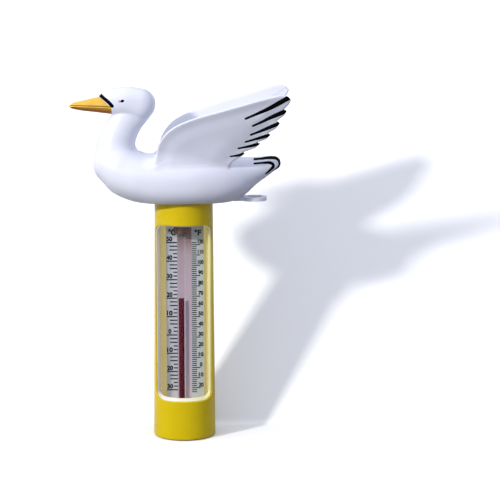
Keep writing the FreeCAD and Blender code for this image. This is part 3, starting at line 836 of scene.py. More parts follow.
# ------------------------------------------------------------------ materials
def white_moulded():
    """White plastic with a soft rosy spot just in front of the eye."""
    shader = Shader("white_moulded")
    color = shader.mottle(scale=55, detail=3, low=srgb(236, 238, 250),
                          high=srgb(241, 242, 252))
    # offsets from the spot's middle, in units of its reach along x and z
    place = separate(shader.tree, shader.coord)
    offset = shader.node("ShaderNodeCombineXYZ")
    for i, axis, middle, reach_end in ((0, "X", -0.0338, -0.0330), (1, "Z", 0.1850, 0.1857)):
        shader.link(shader.remap(place[axis], source=(middle, reach_end), target=(0.0, 1.0),
                                 clamp=False), offset.inputs[i])
    length = shader.node("ShaderNodeVectorMath", operation="LENGTH")
    shader.link(offset.outputs[0], length.inputs[0])
    spot = shader.remap(length.outputs["Value"], source=(0.45, 1.35), target=(0.75, 0.0))
    shader.set(color=shader.mix(spot, color, srgb(214, 92, 120)),
               rough=shader.vary(scale=300, detail=3, low=0.36, high=0.46),
               ior=1.45, coat=0.08, coat_rough=0.2,
               sss=0.12, sss_scale=0.002, sss_radius=(1.0, 1.0, 1.2))
    shader.grain(scale=900, strength=0.05, distance=0.00005)


def yellow_inside():
    """Inside of the yellow wall; its paler colour and faint glow are painted light in its shade."""
    shader = Shader("yellow_inside")
    color = shader.mottle(scale=60, detail=3, low=srgb(226, 212, 142),
                          high=srgb(232, 218, 158))
    # emission: a painted glow that lights up the shaded inside
    shader.set(color=color, rough=shader.vary(scale=250, detail=3, low=0.4, high=0.5),
               spec=0.3, emit=color, emit_strength=0.30)


def bill_paint():
    """Orange-yellow paint, turned brown on faces that look down as painted shade."""
    shader = Shader("bill_paint")
    normal = shader.node("ShaderNodeNewGeometry").outputs["Normal"]
    base = shader.mottle(scale=220, detail=3, low=srgb(236, 186, 66), high=srgb(242, 198, 82))
    # painted shade: brown where the normal points down
    painted_shade_below = shader.remap(separate(shader.tree, normal)["Z"], source=(-0.62, 0.0),
                         target=(1.0, 0.0))
    shader.set(color=shader.mix(painted_shade_below, base, srgb(150, 92, 8)),
               rough=shader.vary(scale=500, detail=2, low=0.34, high=0.46),
               spec=0.25, coat=0.04)
    shader.grain(scale=900, strength=0.06, distance=0.00006)


def clear_moulded():
    shader = Shader("clear_moulded")
    shader.set(color=rgb(0.985, 0.985, 0.97), ior=1.25, trans=1.0,
               rough=shader.vary(scale=300, detail=2, low=0.02, high=0.05),
               spec_tint=rgb(0.4, 0.4, 0.4))
    shader.grain(scale=120, strength=0.02, distance=0.00005)
    shader.see_through(rgb(0.97, 0.97, 0.96))


def drawn_glass():
    shader = Shader("drawn_glass")
    shader.set(color=rgb(0.98, 0.97, 0.975), ior=1.45, trans=1.0,
               rough=shader.vary(scale=300, detail=2, low=0.0, high=0.03),
               spec_tint=rgb(0.15, 0.15, 0.15))
    shader.see_through(rgb(0.97, 0.97, 0.97))


def glass_bore():
    """The bore holds liquid or is seen through the rod, so its wall is left out of sight."""
    tree, output = new_material("glass_bore")
    clear = add_node(tree, "ShaderNodeBsdfTransparent", Color=rgb(0.985, 0.975, 0.98))
    tree.links.new(clear.outputs[0], output)


def window_border():
    """The clear window's bevelled border, frosted, with painted highlight and glow."""
    shader = Shader("window_border")
    # near white, and yellower towards +x: painted highlight and painted reflection
    color = shader.ramp(shader.along("X", start=-0.015, end=0.015),
                        (0.0, srgb(250, 240, 236)), (0.35, srgb(244, 240, 230)),
                        (1.0, srgb(244, 238, 168)))
    color = shader.mix(shader.vary(scale=600, detail=3, low=0.0, high=0.12), color,
                       srgb(226, 210, 150))
    # the emission is a painted glow
    shader.set(color=color, rough=shader.vary(scale=500, detail=2, low=0.14, high=0.24),
               trans=0.15, ior=1.45, coat=0.5, emit=color, emit_strength=0.12)
    shader.see_through(rgb(0.8, 0.8, 0.75))


def card_sheet():
    shader = Shader("card_sheet")
    # lavender-white at -x, darker and greyer towards +x: painted shade across the card
    color = shader.ramp(shader.along("X", start=-0.010, end=0.011),
                        (0.0, srgb(226, 226, 240)), (0.55, srgb(216, 220, 226)),
                        (1.0, srgb(198, 206, 202)))
    color = shader.mix(shader.vary(scale=700, detail=3, low=0.0, high=0.10), color,
                       srgb(205, 200, 210))
    shader.set(color=color, rough=shader.vary(scale=500, detail=2, low=0.38, high=0.5))
    shader.grain(scale=1600, strength=0.05, distance=0.00004)


def band_print():
    """The mauve band behind the capillary, with painted shadow darkening it towards its top."""
    shader = Shader("band_print")
    # darker and browner upwards: painted shadow under the window's upper edge
    color = shader.ramp(shader.along("Z", start=0.020, end=0.118),
                        (0.0, srgb(224, 206, 220)), (0.5, srgb(214, 194, 210)),
                        (0.82, srgb(198, 178, 188)), (0.91, srgb(152, 126, 124)),
                        (1.0, srgb(112, 84, 76)))
    color = shader.mix(shader.vary(scale=400, detail=3, low=0.0, high=0.15), color,
                       srgb(190, 170, 180))
    shader.set(color=color, rough=0.45)


def foam():
    shader = Shader("foam")
    cells = shader.node("ShaderNodeTexVoronoi", Scale=1400.0)
    shader.link(shader.coord, cells.inputs["Vector"])
    distance = cells.outputs["Distance"]
    shader.set(color=shader.ramp(distance, (0.1, srgb(74, 74, 78)), (0.8, srgb(120, 120, 124))),
               rough=0.9)
    shader.bump(distance, strength=0.5, distance=0.0002)


def floor_paper():
    """Bleached paper. It is bright to the camera but throws little light back up, and its
    back is left out of sight so that the object can be looked at from behind."""
    shader = Shader("floor_paper")
    color = shader.mottle(scale=8, detail=2, low=rgb(0.95, 0.945, 0.925),
                          high=rgb(0.97, 0.965, 0.945))
    ray = shader.node("ShaderNodeLightPath").outputs
    shader.set(color=shader.mix(ray["Is Diffuse Ray"], color, rgb(0.16, 0.16, 0.168)),
               rough=0.9, spec=0.0, emit=rgb(1.0, 1.0, 1.0),
               emit_strength=shader.remap(ray["Is Camera Ray"], source=(0, 1),
                                          target=(0.0, 0.02)))
    backfacing = shader.node("ShaderNodeNewGeometry").outputs["Backfacing"]
    clear = shader.node("ShaderNodeBsdfTransparent")
    extra = shader.node("ShaderNodeBsdfDiffuse")
    shader.link(shader.mix(ray["Is Camera Ray"], rgb(0.0, 0.0, 0.0), rgb(0.24, 0.235, 0.22)),
                extra.inputs["Color"])
    both = shader.node("ShaderNodeAddShader")
    shader.link(shader.principled.outputs[0], both.inputs[0])
    shader.link(extra.outputs[0], both.inputs[1])
    shader.link(mix_shaders(shader.tree, backfacing, both.outputs[0], clear.outputs[0]),
                shader.output)


white_moulded()
plain_material("black_paint",
               tone=dict(scale=400, detail=3, low=srgb(1, 1, 3), high=srgb(5, 5, 8)),
               gloss=dict(scale=700, detail=2, low=0.5, high=0.65),
               grain=dict(scale=1200, strength=0.12, distance=0.00006), spec=0.03)
plain_material("yellow_moulded",
               tone=dict(scale=60, detail=3, low=srgb(227, 197, 0), high=srgb(234, 204, 2)),
               gloss=dict(scale=250, detail=3, low=0.26, high=0.36),
               grain=dict(scale=1100, strength=0.02, distance=0.00003), spec=0.22)
yellow_inside()
bill_paint()
clear_moulded()
drawn_glass()
glass_bore()
window_border()
# dark brown on the upper clip: painted shadow under the window's upper edge
plain_material("upper_clip_painted_shadow",
               tone=dict(scale=200, detail=3, low=srgb(104, 74, 66), high=srgb(132, 98, 88)),
               gloss=dict(scale=300, detail=3, low=0.35, high=0.5),
               grain=dict(scale=1100, strength=0.06, distance=0.00005))
plain_material("natural_moulded",
               tone=dict(scale=80, detail=3, low=srgb(214, 211, 198),
                         high=srgb(226, 224, 212)),
               gloss=dict(scale=300, detail=3, low=0.4, high=0.55),
               grain=dict(scale=1100, strength=0.08, distance=0.00006),
               sss=0.2, sss_scale=0.002)
card_sheet()
plain_material("print_ink",
               tone=dict(scale=900, detail=3, low=srgb(3, 3, 7), high=srgb(10, 10, 15)),
               gloss=dict(scale=700, detail=2, low=0.6, high=0.75), spec=0.05)
band_print()
# the spirit's emission is a painted glow
plain_material("red_spirit",
               tone=dict(scale=500, detail=2, low=srgb(76, 0, 24), high=srgb(88, 0, 29)),
               gloss=dict(scale=500, detail=2, low=0.35, high=0.45),
               spec=0.08, emit=srgb(60, 0, 24), emit_strength=0.35)
plain_material("rubber",
               tone=dict(scale=300, detail=3, low=srgb(26, 26, 27), high=srgb(38, 38, 40)),
               gloss=dict(scale=600, detail=3, low=0.6, high=0.8),
               grain=dict(scale=1500, strength=0.15, distance=0.00006))
foam()
plain_material("zinc_steel",
               tone=dict(scale=500, detail=4, low=srgb(168, 170, 174),
                         high=srgb(196, 198, 202)),
               gloss=dict(scale=200, detail=4, low=0.28, high=0.45),
               grain=dict(scale=900, detail=3, strength=0.1, distance=0.00006), metal=1.0)
floor_paper()


# ------------------------------------------------------------------ swan pieces
def prism(name, outline, low_z, high_z):
    """An upright prism over a counter-clockwise outline of x, y."""
    n = len(outline)
    vertices = [(x, y, z) for z in (low_z, high_z) for x, y in outline]
    faces = [range(n)[::-1], range(n, 2 * n)]
    faces += [(i, (i + 1) % n, n + (i + 1) % n, n + i) for i in range(n)]
    return new_mesh(name, vertices, faces)


def belly_cutters():
    """The base plate's opening and the notch behind it, both starting below the swan."""
    low_z, opening_high_z, notch_high_z = 129.0, 133.6, 132.72
    middle_x, half_length, half_width, power, segments = -1, 25.0, 15.8, 2.2, 96
    notch_x0, notch_x1, notch_half_width = 19.0, 40.0, 4.2

    opening = []
    for i in range(segments):
        angle = 2 * math.pi * i / segments
        cosine, sine = math.cos(angle), math.sin(angle)
        opening.append((middle_x + half_length
                        * math.copysign(abs(cosine) ** (2 / power), cosine),
                        half_width * math.copysign(abs(sine) ** (2 / power), sine)))
    notch = [(notch_x0, -notch_half_width), (notch_x1, -notch_half_width),
             (notch_x1, notch_half_width), (notch_x0, notch_half_width)]
    return (prism("cut_a", opening, low_z, opening_high_z),
            prism("cut_b", notch, low_z, notch_high_z))


def make_swan_part(name, points, triangles, black, on_parting):
    """The part on the swan's left, -y, closed at the parting line and the mirror plane."""
    ob = new_mesh(name, points * (1, -1, 1), triangles[:, ::-1])
    mesh = ob.data
    mesh.materials.append(MATERIALS["white_moulded"])
    mesh.materials.append(MATERIALS["black_paint"])
    mesh.polygons.foreach_set("material_index", black.astype(np.int32))
    bm = bmesh.new()
    bm.from_mesh(mesh)
    layer = bm.verts.layers.int.new("rim")
    for vert, flag in zip(bm.verts, on_parting):
        vert[layer] = int(flag)
    fill_open_edges(bm, lambda vert: vert[layer])
    fill_open_edges(bm, lambda vert: abs(vert.co.y) < 1e-7)
    pinched = [e for e in bm.edges if len(e.link_faces) > 2]
    if pinched:
        bmesh.ops.collapse(bm, edges=pinched, uvs=False)
    bmesh.ops.recalc_face_normals(bm, faces=bm.faces)
    still_open = [e for e in bm.edges if e.is_boundary]
    if still_open:
        bmesh.ops.holes_fill(bm, edges=still_open, sides=0)
    bm.to_mesh(mesh)
    bm.free()
    return ob


def make_swan():
    """Left and right half, left and right wing."""
    sharp_angle = 38
    parts = shape_swan()
    left = make_swan_part("swan_left_half", *parts["body"])
    for cutter in belly_cutters():
        cut_away(left, cutter)
    smooth(left, sharp_angle)
    right = mirrored(left, "swan_right_half")
    left_wing = make_swan_part("swan_left_wing", *parts["wing"])
    smooth(left_wing, sharp_angle)
    return left, right, left_wing, mirrored(left_wing, "swan_right_wing")


# ------------------------------------------------------------------ bill
# upper and lower outline (x, z) and half width (x, width)
BILL_TOP = [(-61.6, 181.9), (-60.6, 182.8), (-58.8, 183.8), (-53.1, 185.1), (-47.4, 186.4),
            (-44.7, 186.9)]
BILL_BOTTOM = [(-61.6, 181.5), (-60.9, 180.9), (-60, 180.4), (-55.1, 179.4), (-47.5, 178.5),
               (-38.4, 177.4)]
BILL_WIDTH = [(-61.6, 0.5), (-61.2, 1.0), (-60.4, 1.6), (-58.8, 2.3), (-53, 3.25),
              (-47.4, 4.0), (-44.7, 4.5), (-40, 5.0), (-38, 5.1)]
# height of the gape, as the part of the way down (second row), by the way along (first row)
GAPE_HEIGHT = ([0, 0.15, 0.45, 0.75, 1], [0.40, 0.42, 0.50, 0.53, 0.56])
BILL_TIP_X, BILL_ROOT_X = -61.55, -44.85    # ends of the upper outline
BILL_SHEAR_X = -44.87       # the rear edge's offset is measured from here
BILL_LOWER_REACH = 6.35     # the lower outline ends this much further back
BILL_REAR_TOP_Z, BILL_REAR_HEIGHT = 186.85, 9.45
BILL_GAP = 0.05             # between the bill and its seat
BILL_STEPS_ALONG, BILL_STEPS_DOWN = 72, 40


def bill_point(top, bottom, width, along, step_down):
    """Point on the bill's +y side, along from the tip (0) to the rear (1)."""
    gape = np.interp(along, *GAPE_HEIGHT)
    # rows gather at the gape
    spread = 2 * step_down / BILL_STEPS_DOWN - 1
    spread = math.copysign(abs(spread) ** 1.45, spread)
    down = gape * (1 + spread) if spread < 0 else gape + (1 - gape) * spread

    # the rear edge is slanted above and upright below, like its seat
    rear_z = BILL_REAR_TOP_Z - down * BILL_REAR_HEIGHT
    rear_x = min(SEAT_X, SEAT_TOP_X + SEAT_SLOPE * (SEAT_TOP_Z - rear_z)) - BILL_GAP
    shear = along ** 1.6
    upper_x = BILL_TIP_X + (BILL_ROOT_X - BILL_TIP_X) * along
    x = upper_x + (rear_x - BILL_SHEAR_X) * shear
    top_z = np.interp(upper_x, top[:, 0], top[:, 1])
    bottom_z = np.interp(upper_x + BILL_LOWER_REACH * shear, bottom[:, 0], bottom[:, 1])
    half_width = np.interp(x, width[:, 0], width[:, 1])

    if down < gape:
        y = half_width * math.sqrt(max(0, 1 - (1 - down / gape) ** 2)) ** 0.92
    else:
        y = half_width * 0.94 * max(0, 1 - ((down - gape) / (1 - gape)) ** 2.1) ** 0.5
    # a groove along the gape, and a lip just below it
    below_gape = (down - gape) * (top_z - bottom_z)
    fade = min(1, half_width / 2.2)
    y -= 0.42 * math.exp(-(below_gape / 0.22) ** 2) * fade
    y += 0.16 * math.exp(-(below_gape - 0.62) ** 2 / 0.10) * fade
    return x, max(y, 0), top_z + (bottom_z - top_z) * down


def make_bill():
    outlines = [catmull(rows, 0.2) for rows in (BILL_TOP, BILL_BOTTOM, BILL_WIDTH)]
    last_i, last_j = BILL_STEPS_ALONG, BILL_STEPS_DOWN
    rows = [[bill_point(*outlines, i / last_i, j) for j in range(last_j + 1)]
            for i in range(last_i + 1)]
    vertices, index = [], {}

    def vertex(i, side, j):
        """Index of a grid vertex; top and bottom rows lie on the mirror plane."""
        x, y, z = rows[i][j]
        if j in (0, last_j):
            side, y = 0, 0.0
        key = (i, side, j)
        if key not in index:
            index[key] = len(vertices)
            vertices.append((x, y * side, z))
        return index[key]

    faces = []

    def add_face(corners, turned=False):
        corners = list(dict.fromkeys(corners))
        if len(corners) >= 3:
            faces.append(corners[::-1] if turned else corners)

    for i in range(last_i):
        for j in range(last_j):
            for side in (1, -1):
                add_face([vertex(i, side, j), vertex(i + 1, side, j),
                          vertex(i + 1, side, j + 1), vertex(i, side, j + 1)], side < 0)
    faces.append([vertex(0, 1, j) for j in range(last_j + 1)]
                 + [vertex(0, -1, j) for j in range(last_j - 1, 0, -1)])
    # the rear face is in strips so that it stays tidy across the bend
    for j in range(last_j):
        add_face([vertex(last_i, 1, j), vertex(last_i, 1, j + 1),
                  vertex(last_i, -1, j + 1), vertex(last_i, -1, j)])
    ob = new_mesh("swan_bill", vertices, faces)
    face_outwards(ob)
    ob.data.materials.append(MATERIALS["bill_paint"])
    smooth(ob, 50)
    return ob


# ------------------------------------------------------------------ scale print
CARD_Y = 0.6                        # front face of the card
PRINT_Y = CARD_Y - 0.012            # back of the ink
INK_THICKNESS = 0.03
SCALE_TOP_C, SCALE_TOP_Z = 50, 107.1
MM_PER_DEGREE_C = 1.03
C_TICK_X, C_TICK_WIDTH = -3.3, 0.66     # inner end of the Celsius ticks
C_LONG_X, C_MIDDLE_X, C_SHORT_X = -9.7, -7.9, -5.9
F_TICK_X, F_TICK_WIDTH = 4.15, 0.52     # inner end of the Fahrenheit ticks
F_LONG_X, F_SHORT_X = 8.9, 6.9
BAND_X1, BAND_Z0, BAND_Z1, BAND_CORNER = 4.1, 18.6, 118.4, 0.6


def celsius_z(degrees):
    return SCALE_TOP_Z - MM_PER_DEGREE_C * (SCALE_TOP_C - degrees)


def fahrenheit_z(degrees):
    return celsius_z((degrees - 32) / 1.8)


def make_print(name, shapes, y, thickness, material):
    """Films of the given thickness in front of y, over closed polygons of x, z."""
    vertices, faces = [], []
    for shape in shapes:
        n = len(shape)
        first = len(vertices)
        vertices += [(x, y - thickness, z) for x, z in shape] + [(x, y, z) for x, z in shape]
        faces.append([first + i for i in range(n)])
        faces.append([first + n + i for i in range(n)][::-1])
        for i in range(n):
            j = (i + 1) % n
            faces.append([first + j, first + n + j, first + n + i, first + i])
    ob = new_mesh(name, vertices, faces)
    face_outwards(ob)
    ob.data.materials.append(MATERIALS[material])
    return ob


def tick(x0, x1, z, width):
    low, high = z - width / 2, z + width / 2
    return [(x0, low), (x1, low), (x1, high), (x0, high)]


def make_ticks():
    ticks = []
    for degrees in range(-30, 51, 2):
        if degrees % 10 == 0:
            outer_x = C_LONG_X
        elif degrees % 10 < 5:
            outer_x = C_SHORT_X     # beside a numeral
        else:
            outer_x = C_MIDDLE_X
        ticks.append(tick(outer_x, C_TICK_X, celsius_z(degrees), C_TICK_WIDTH))
    for degrees in range(-24, 123, 2):
        outer_x = F_LONG_X if degrees % 10 == 0 else F_SHORT_X
        ticks.append(tick(F_TICK_X, outer_x, fahrenheit_z(degrees), F_TICK_WIDTH))
    return make_print("scale_ticks", ticks, PRINT_Y, INK_THICKNESS, "print_ink")


def text_outline(name, text):
    """Flat mesh of a text: its coordinates and faces."""
    curve = bpy.data.curves.new(name, "FONT")
    curve.body = text
    curve.size = 1.0
    curve.align_x = "CENTER"
    curve.offset = 0.05
    curve.resolution_u = 4
    ob = bpy.data.objects.new(name, curve)
    bpy.context.scene.collection.objects.link(ob)
    depsgraph = bpy.context.evaluated_depsgraph_get()
    mesh = bpy.data.meshes.new_from_object(ob.evaluated_get(depsgraph))
    coords = np.array([v.co for v in mesh.vertices])
    faces = [list(p.vertices) for p in mesh.polygons]
    bpy.data.objects.remove(ob)
    bpy.data.curves.remove(curve)
    bpy.data.meshes.remove(mesh)
    return coords, faces


def thicken_text(ob):
    """Cleans the flat letters and gives them the ink's thickness."""
    bm = bmesh.new()
    bm.from_mesh(ob.data)
    bmesh.ops.remove_doubles(bm, verts=bm.verts, dist=2e-6)
    bmesh.ops.dissolve_degenerate(bm, edges=bm.edges, dist=5e-7)
    # slivers folded onto a neighbour, and stray points, are left out
    for _ in range(4):
        folded = {min(e.link_faces, key=lambda face: face.calc_area())
                  for e in bm.edges if len(e.link_faces) > 2}
        if not folded:
            break
        bmesh.ops.delete(bm, geom=list(folded), context="FACES")
    stray = [v for v in bm.verts if not v.link_faces]
    if stray:
        bmesh.ops.delete(bm, geom=stray, context="VERTS")
    # where two strokes only touch at a point, each gets its own corner
    for vert in [v for v in bm.verts if sum(e.is_boundary for e in v.link_edges) > 2]:
        bmesh.utils.vert_separate(vert, [e for e in vert.link_edges if e.is_boundary])
    extruded = bmesh.ops.extrude_face_region(bm, geom=list(bm.faces))["geom"]
    bmesh.ops.translate(bm, verts=[g for g in extruded if isinstance(g, bmesh.types.BMVert)],
                        vec=(0, INK_THICKNESS * MM, 0))
    bmesh.ops.recalc_face_normals(bm, faces=bm.faces)
    bm.to_mesh(ob.data)
    bm.free()


def make_numerals():
    # text, middle x, lower z, height, width
    items = []
    for degrees in range(-30, 51, 10):
        text = str(abs(degrees))
        width = {1: 1.7, 2: 3.3}[len(text)]
        items.append((text, -8.0, celsius_z(degrees) + 0.62, 2.75, width))
    for degrees in range(-20, 121, 10):
        text = str(abs(degrees))
        width = {1: 1.5, 2: 2.75, 3: 3.2}[len(text)]
        items.append((text, 9.15, fahrenheit_z(degrees) + 0.55, 2.45, width))
    items.append(("°C", -6.5, 111.0, 3.6, 4.2))
    items.append(("°F", 7.6, 111.0, 3.3, 3.8))

    name = "scale_numerals"
    vertices, faces = [], []
    for i, (text, middle_x, low_z, height, width) in enumerate(items):
        coords, text_faces = text_outline(f"{name}_{i}", text)
        low, high = coords.min(0), coords.max(0)
        x = (coords[:, 0] - (low[0] + high[0]) / 2) / (high[0] - low[0]) * width + middle_x
        z = (coords[:, 1] - low[1]) / (high[1] - low[1]) * height + low_z
        first = len(vertices)
        y = np.full(len(coords), PRINT_Y - INK_THICKNESS)
        vertices += np.stack([x, y, z], 1).tolist()
        faces += [[first + k for k in face] for face in text_faces]
    ob = new_mesh(name, vertices, faces)
    thicken_text(ob)
    ob.data.materials.append(MATERIALS["print_ink"])
    return ob


def arc(middle_x, middle_z, radius, start_degrees, steps):
    """Quarter circle: x, z and the outward direction of each point."""
    points = []
    for i in range(steps + 1):
        angle = math.radians(start_degrees + 90 * i / steps)
        cosine, sine = math.cos(angle), math.sin(angle)
        points.append((middle_x + radius * cosine, middle_z + radius * sine, cosine, sine))
    return points


def make_band():
    """The rounded band between the two rows of ticks."""
    left, right = C_TICK_X + BAND_CORNER, BAND_X1 - BAND_CORNER
    low, high = BAND_Z0 + BAND_CORNER, BAND_Z1 - BAND_CORNER
    outline = []
    for x, z, start in ((right, low, -90), (right, high, 0), (left, high, 90), (left, low, 180)):
        outline += [point[:2] for point in arc(x, z, BAND_CORNER, start, 6)]
    return make_print("scale_band", [outline], CARD_Y - 0.002, 0.010, "band_print")


# ------------------------------------------------------------------ window border
WINDOW_HALF_WIDTH, WINDOW_Z0, WINDOW_Z1, WINDOW_CORNER = 14.66, 21.86, 118.44, 4.15
WINDOW_TOP_NARROWING = 0.35         # the upper edge is this much slimmer
# section of the border: distance in from the opening's edge, radius from the case's axis
WINDOW_PROFILE = [(0.04, 13.9), (0.04, 16.15), (0.30, 16.1), (0.75, 15.45), (1.20, 14.75),
                  (1.50, 14.25), (1.56, 13.98), (1.50, 13.9)]


def window_outline():
    """Rounded opening, from its +x upper corner round to its +x edge."""
    corner, steps_across, steps_up = WINDOW_CORNER, 24, 60
    side, low, high = WINDOW_HALF_WIDTH - corner, WINDOW_Z0 + corner, WINDOW_Z1 - corner
    points = arc(side, high, corner, 0, 12)
    points += [(side - 2 * side * i / steps_across, WINDOW_Z1, 0.0, 1.0)
               for i in range(1, steps_across)]
    points += arc(-side, high, corner, 90, 12)
    points += [(-WINDOW_HALF_WIDTH, high - (high - low) * i / steps_up, -1.0, 0.0)
               for i in range(1, steps_up)]
    points += arc(-side, low, corner, 180, 12)
    points += [(-side + 2 * side * i / steps_across, WINDOW_Z0, 0.0, -1.0)
               for i in range(1, steps_across)]
    points += arc(side, low, corner, 270, 12)
    points += [(WINDOW_HALF_WIDTH, low + (high - low) * i / steps_up, 1.0, 0.0)
               for i in range(1, steps_up)]
    return points


def make_window_border():
    """Bevelled border all round the opening, bent to the case's curve."""
    outline = window_outline()
    vertices = []
    for edge_x, edge_z, out_x, out_z in outline:
        narrowing = WINDOW_TOP_NARROWING if out_z > 0.5 else 1.0
        for inset, radius in WINDOW_PROFILE:
            x = edge_x - out_x * inset
            vertices.append((x, -math.sqrt(max(radius * radius - x * x, 0.01)),
                             edge_z - out_z * inset * narrowing))
    n, k = len(outline), len(WINDOW_PROFILE)
    faces = []
    for i in range(n):
        here, after = i * k, (i + 1) % n * k
        for j in range(k):
            up = (j + 1) % k
            faces.append([here + j, after + j, after + up, here + up])
    ob = new_mesh("window_border", vertices, faces)
    face_outwards(ob)
    ob.data.materials.append(MATERIALS["window_border"])
    smooth(ob, 45)
    return ob


# ------------------------------------------------------------------ spirit column
COLUMN_LOW, COLUMN_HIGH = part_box("spirit_column")
COLUMN_X = (COLUMN_LOW.x + COLUMN_HIGH.x) / 2 / MM
COLUMN_Y = (COLUMN_LOW.y + COLUMN_HIGH.y) / 2 / MM
COLUMN_Z0, COLUMN_Z1 = COLUMN_LOW.z / MM, COLUMN_HIGH.z / MM
COLUMN_RADIUS = (COLUMN_HIGH.x - COLUMN_LOW.x) / 2 / MM * 0.985
MENISCUS = [(0.72, -0.10), (0.40, -0.22)]   # part of the radius, height from the top


def make_column():
    """Spirit thread with a flat foot and a hollow meniscus."""
    steps_up, segments = 150, 28
    vertices, faces = [], []

    def add_ring(radius, z):
        first = len(vertices)
        for k in range(segments):
            angle = 2 * math.pi * k / segments
            vertices.append((COLUMN_X + radius * math.cos(angle),
                             COLUMN_Y + radius * math.sin(angle), z))
        return list(range(first, first + segments))

    def join(lower, upper):
        for k in range(segments):
            after = (k + 1) % segments
            faces.append([lower[k], lower[after], upper[after], upper[k]])

    rings = [add_ring(COLUMN_RADIUS, COLUMN_Z0 + (COLUMN_Z1 - COLUMN_Z0) * i / steps_up)
             for i in range(steps_up + 1)]
    for lower, upper in zip(rings, rings[1:]):
        join(lower, upper)
    faces.append(rings[0][::-1])
    ring = rings[-1]
    for fraction, height in MENISCUS:
        inner = add_ring(COLUMN_RADIUS * fraction, COLUMN_Z1 + height)
        join(ring, inner)
        ring = inner
    faces.append(ring)
    ob = new_mesh("spirit_thread", vertices, faces)
    ob.data.materials.append(MATERIALS["red_spirit"])
    smooth(ob, 40)
    return ob


# ------------------------------------------------------------------ finishes on the CAD pieces
FINISHES = {
    "case_tube": "yellow_moulded", "bottom_cap": "yellow_moulded",
    "neck_plug": "yellow_moulded", "cap_seal": "rubber", "neck_seal": "rubber",
    "ballast_weight": "zinc_steel", "lower_cushion": "foam", "upper_cushion": "foam",
    "clear_tube": "clear_moulded", "clear_tube_bottom_plug": "natural_moulded",
    "clear_tube_top_plug": "natural_moulded", "scale_card": "card_sheet",
    "lower_clip": "natural_moulded", "upper_clip": "upper_clip_painted_shadow",
    "glass_capillary": "drawn_glass", "spirit_bulb_fill": "red_spirit",
    "base_plate": "white_moulded"}


def finish_inside(name, material, axis_x, axis_y, radius, low_z, high_z):
    """Gives a second material to the faces within radius of an upright axis."""
    mesh = NODES[name].data
    mesh.materials.append(MATERIALS[material])
    reach = [math.hypot(v.co.x - axis_x * MM, v.co.y - axis_y * MM) for v in mesh.vertices]
    for face in mesh.polygons:
        if (max(reach[i] for i in face.vertices) < radius * MM
                and low_z * MM < face.center.z < high_z * MM):
            face.material_index = 1


def finish_cad_pieces():
    for name, material in FINISHES.items():
        NODES[name].data.materials.clear()
        NODES[name].data.materials.append(MATERIALS[material])
        smooth(NODES[name], 32)
    # the case's inside faces get the paler, glowing yellow: painted light
    finish_inside("case_tube", "yellow_inside", axis_x=0, axis_y=0, radius=15.35,
                  low_z=4, high_z=128)
    glass_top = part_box("glass_capillary")[1].z / MM
    finish_inside("glass_capillary", "glass_bore", axis_x=COLUMN_X, axis_y=COLUMN_Y,
                  radius=1.25, low_z=-math.inf, high_z=glass_top - 2.2)


# ------------------------------------------------------------------ build, and what rides on what
left, right, left_wing, right_wing = make_swan()
bill = make_bill()
ticks = make_ticks()
numerals = make_numerals()
band = make_band()
border = make_window_border()
column = make_column()
finish_cad_pieces()

for ob, cad in ((left, "swan_left_shell"), (right, "swan_right_shell"),
                (left_wing, "left_wing"), (right_wing, "right_wing")):
    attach(ob, "swan")
    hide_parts(cad)
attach(bill, "swan")
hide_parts("beak")
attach(border, "case")
for ob in (ticks, numerals, band):
    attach(ob, "case")
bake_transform(column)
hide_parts("spirit_column")


# ------------------------------------------------------------------ stage, in metres
def make_stage():
    """Pale sweep: level under and in front of the foot, rising behind it."""
    bend_y, rise, bend_radius, bend_steps = 0.0185, math.radians(57.4), 0.006, 12
    slope_length, half_width = 1.6, 4.0
    near_y, far_y, overlap = -4.0, 4.0, 0.002
    sweep_drop, rear_drop = 0.0001, 0.00012     # below the foot

    profile = [(near_y, 0.0), (-0.3, 0.0), (bend_y - overlap, 0.0)]
    for i in range(bend_steps + 1):
        angle = rise * i / bend_steps
        profile.append((bend_y + bend_radius * math.sin(angle),
                        bend_radius - bend_radius * math.cos(angle)))
    y, z = profile[-1]
    profile.append((y + slope_length * math.cos(rise), z + slope_length * math.sin(rise)))
    columns = [-half_width, -0.6, 0, 0.6, half_width]
    vertices = [(x, y, z - sweep_drop) for y, z in profile for x in columns]
    n = len(columns)
    faces = [[i * n + k, i * n + k + 1, (i + 1) * n + k + 1, (i + 1) * n + k]
             for i in range(len(profile) - 1) for k in range(n - 1)]
    # level floor behind the sweep, for looking from behind
    first = len(vertices)
    vertices += [(x, y, -rear_drop) for x, y in (
        (-half_width, bend_y - overlap), (half_width, bend_y - overlap),
        (half_width, far_y), (-half_width, far_y))]
    faces.append(range(first, first + 4))
    ob = new_mesh("sweep", vertices, faces, scale=1.0)
    ob.data.materials.append(MATERIALS["floor_paper"])
    smooth(ob, 60)


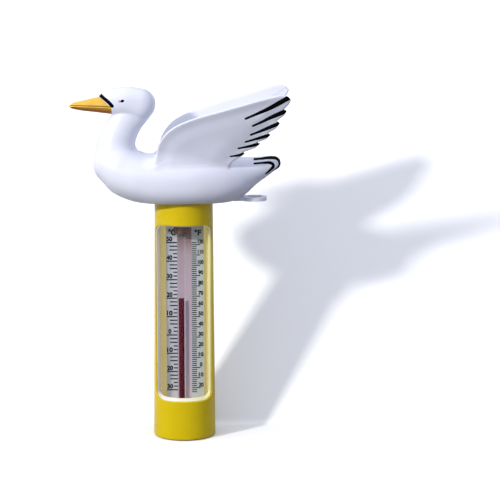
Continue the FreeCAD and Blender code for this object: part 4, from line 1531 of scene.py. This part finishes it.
def make_key_light():
    target = Vector((0, 0, 0.11))
    direction = Vector((0.651, 0.614, -0.446)).normalized()
    distance = 1.5
    light = bpy.data.lights.new("key", "AREA")
    light.shape = "SQUARE"
    light.size = 0.13
    light.energy = 14.0
    light.color = (1.0, 0.985, 0.965)
    ob = bpy.data.objects.new("key", light)
    ob.location = target - direction * distance
    ob.rotation_euler = (target - ob.location).to_track_quat("-Z", "Y").to_euler()
    bpy.context.scene.collection.objects.link(ob)


def make_world():
    """Soft sky, bluish and brighter above, a little stronger from -x. The camera sees an
    even pale backdrop instead."""
    world = bpy.data.worlds.new("studio")
    bpy.context.scene.world = world
    world.use_nodes = True
    tree = world.node_tree
    sky = tree.nodes["Background"]
    direction = separate(tree, add_node(tree, "ShaderNodeTexCoord").outputs["Generated"])
    height = remap(tree, direction["Z"], source=(-1, 1), target=(0, 1))
    color = color_ramp(tree, height, [(0.40, rgb(0.13, 0.145, 0.185)),
                                      (0.55, rgb(0.50, 0.545, 0.69)),
                                      (1.0, rgb(0.90, 0.935, 1.07))])
    tree.links.new(color, sky.inputs[0])
    strength = remap(tree, direction["X"], source=(-1, 1), target=(1.06, 0.84))
    tree.links.new(strength, sky.inputs[1])
    backdrop = add_node(tree, "ShaderNodeBackground", Color=rgb(0.93, 0.94, 0.97))
    camera_ray = add_node(tree, "ShaderNodeLightPath").outputs["Is Camera Ray"]
    mixed = mix_shaders(tree, camera_ray, sky.outputs[0], backdrop.outputs[0])
    tree.links.new(mixed, tree.nodes["World Output"].inputs[0])


def make_camera():
    camera = bpy.data.cameras.new("camera")
    camera.lens = 147.7
    camera.sensor_width = 36
    camera.clip_end = 20
    ob = bpy.data.objects.new("camera", camera)
    ob.location = (0.03609, -1.10405, 0.29005)
    ob.rotation_euler = (math.radians(80.386), 0, 0)
    bpy.context.scene.collection.objects.link(ob)
    bpy.context.scene.camera = ob


make_stage()
make_key_light()
make_world()
make_camera()
bpy.context.scene.view_settings.view_transform = "Standard"
bpy.context.scene.view_settings.look = "None"
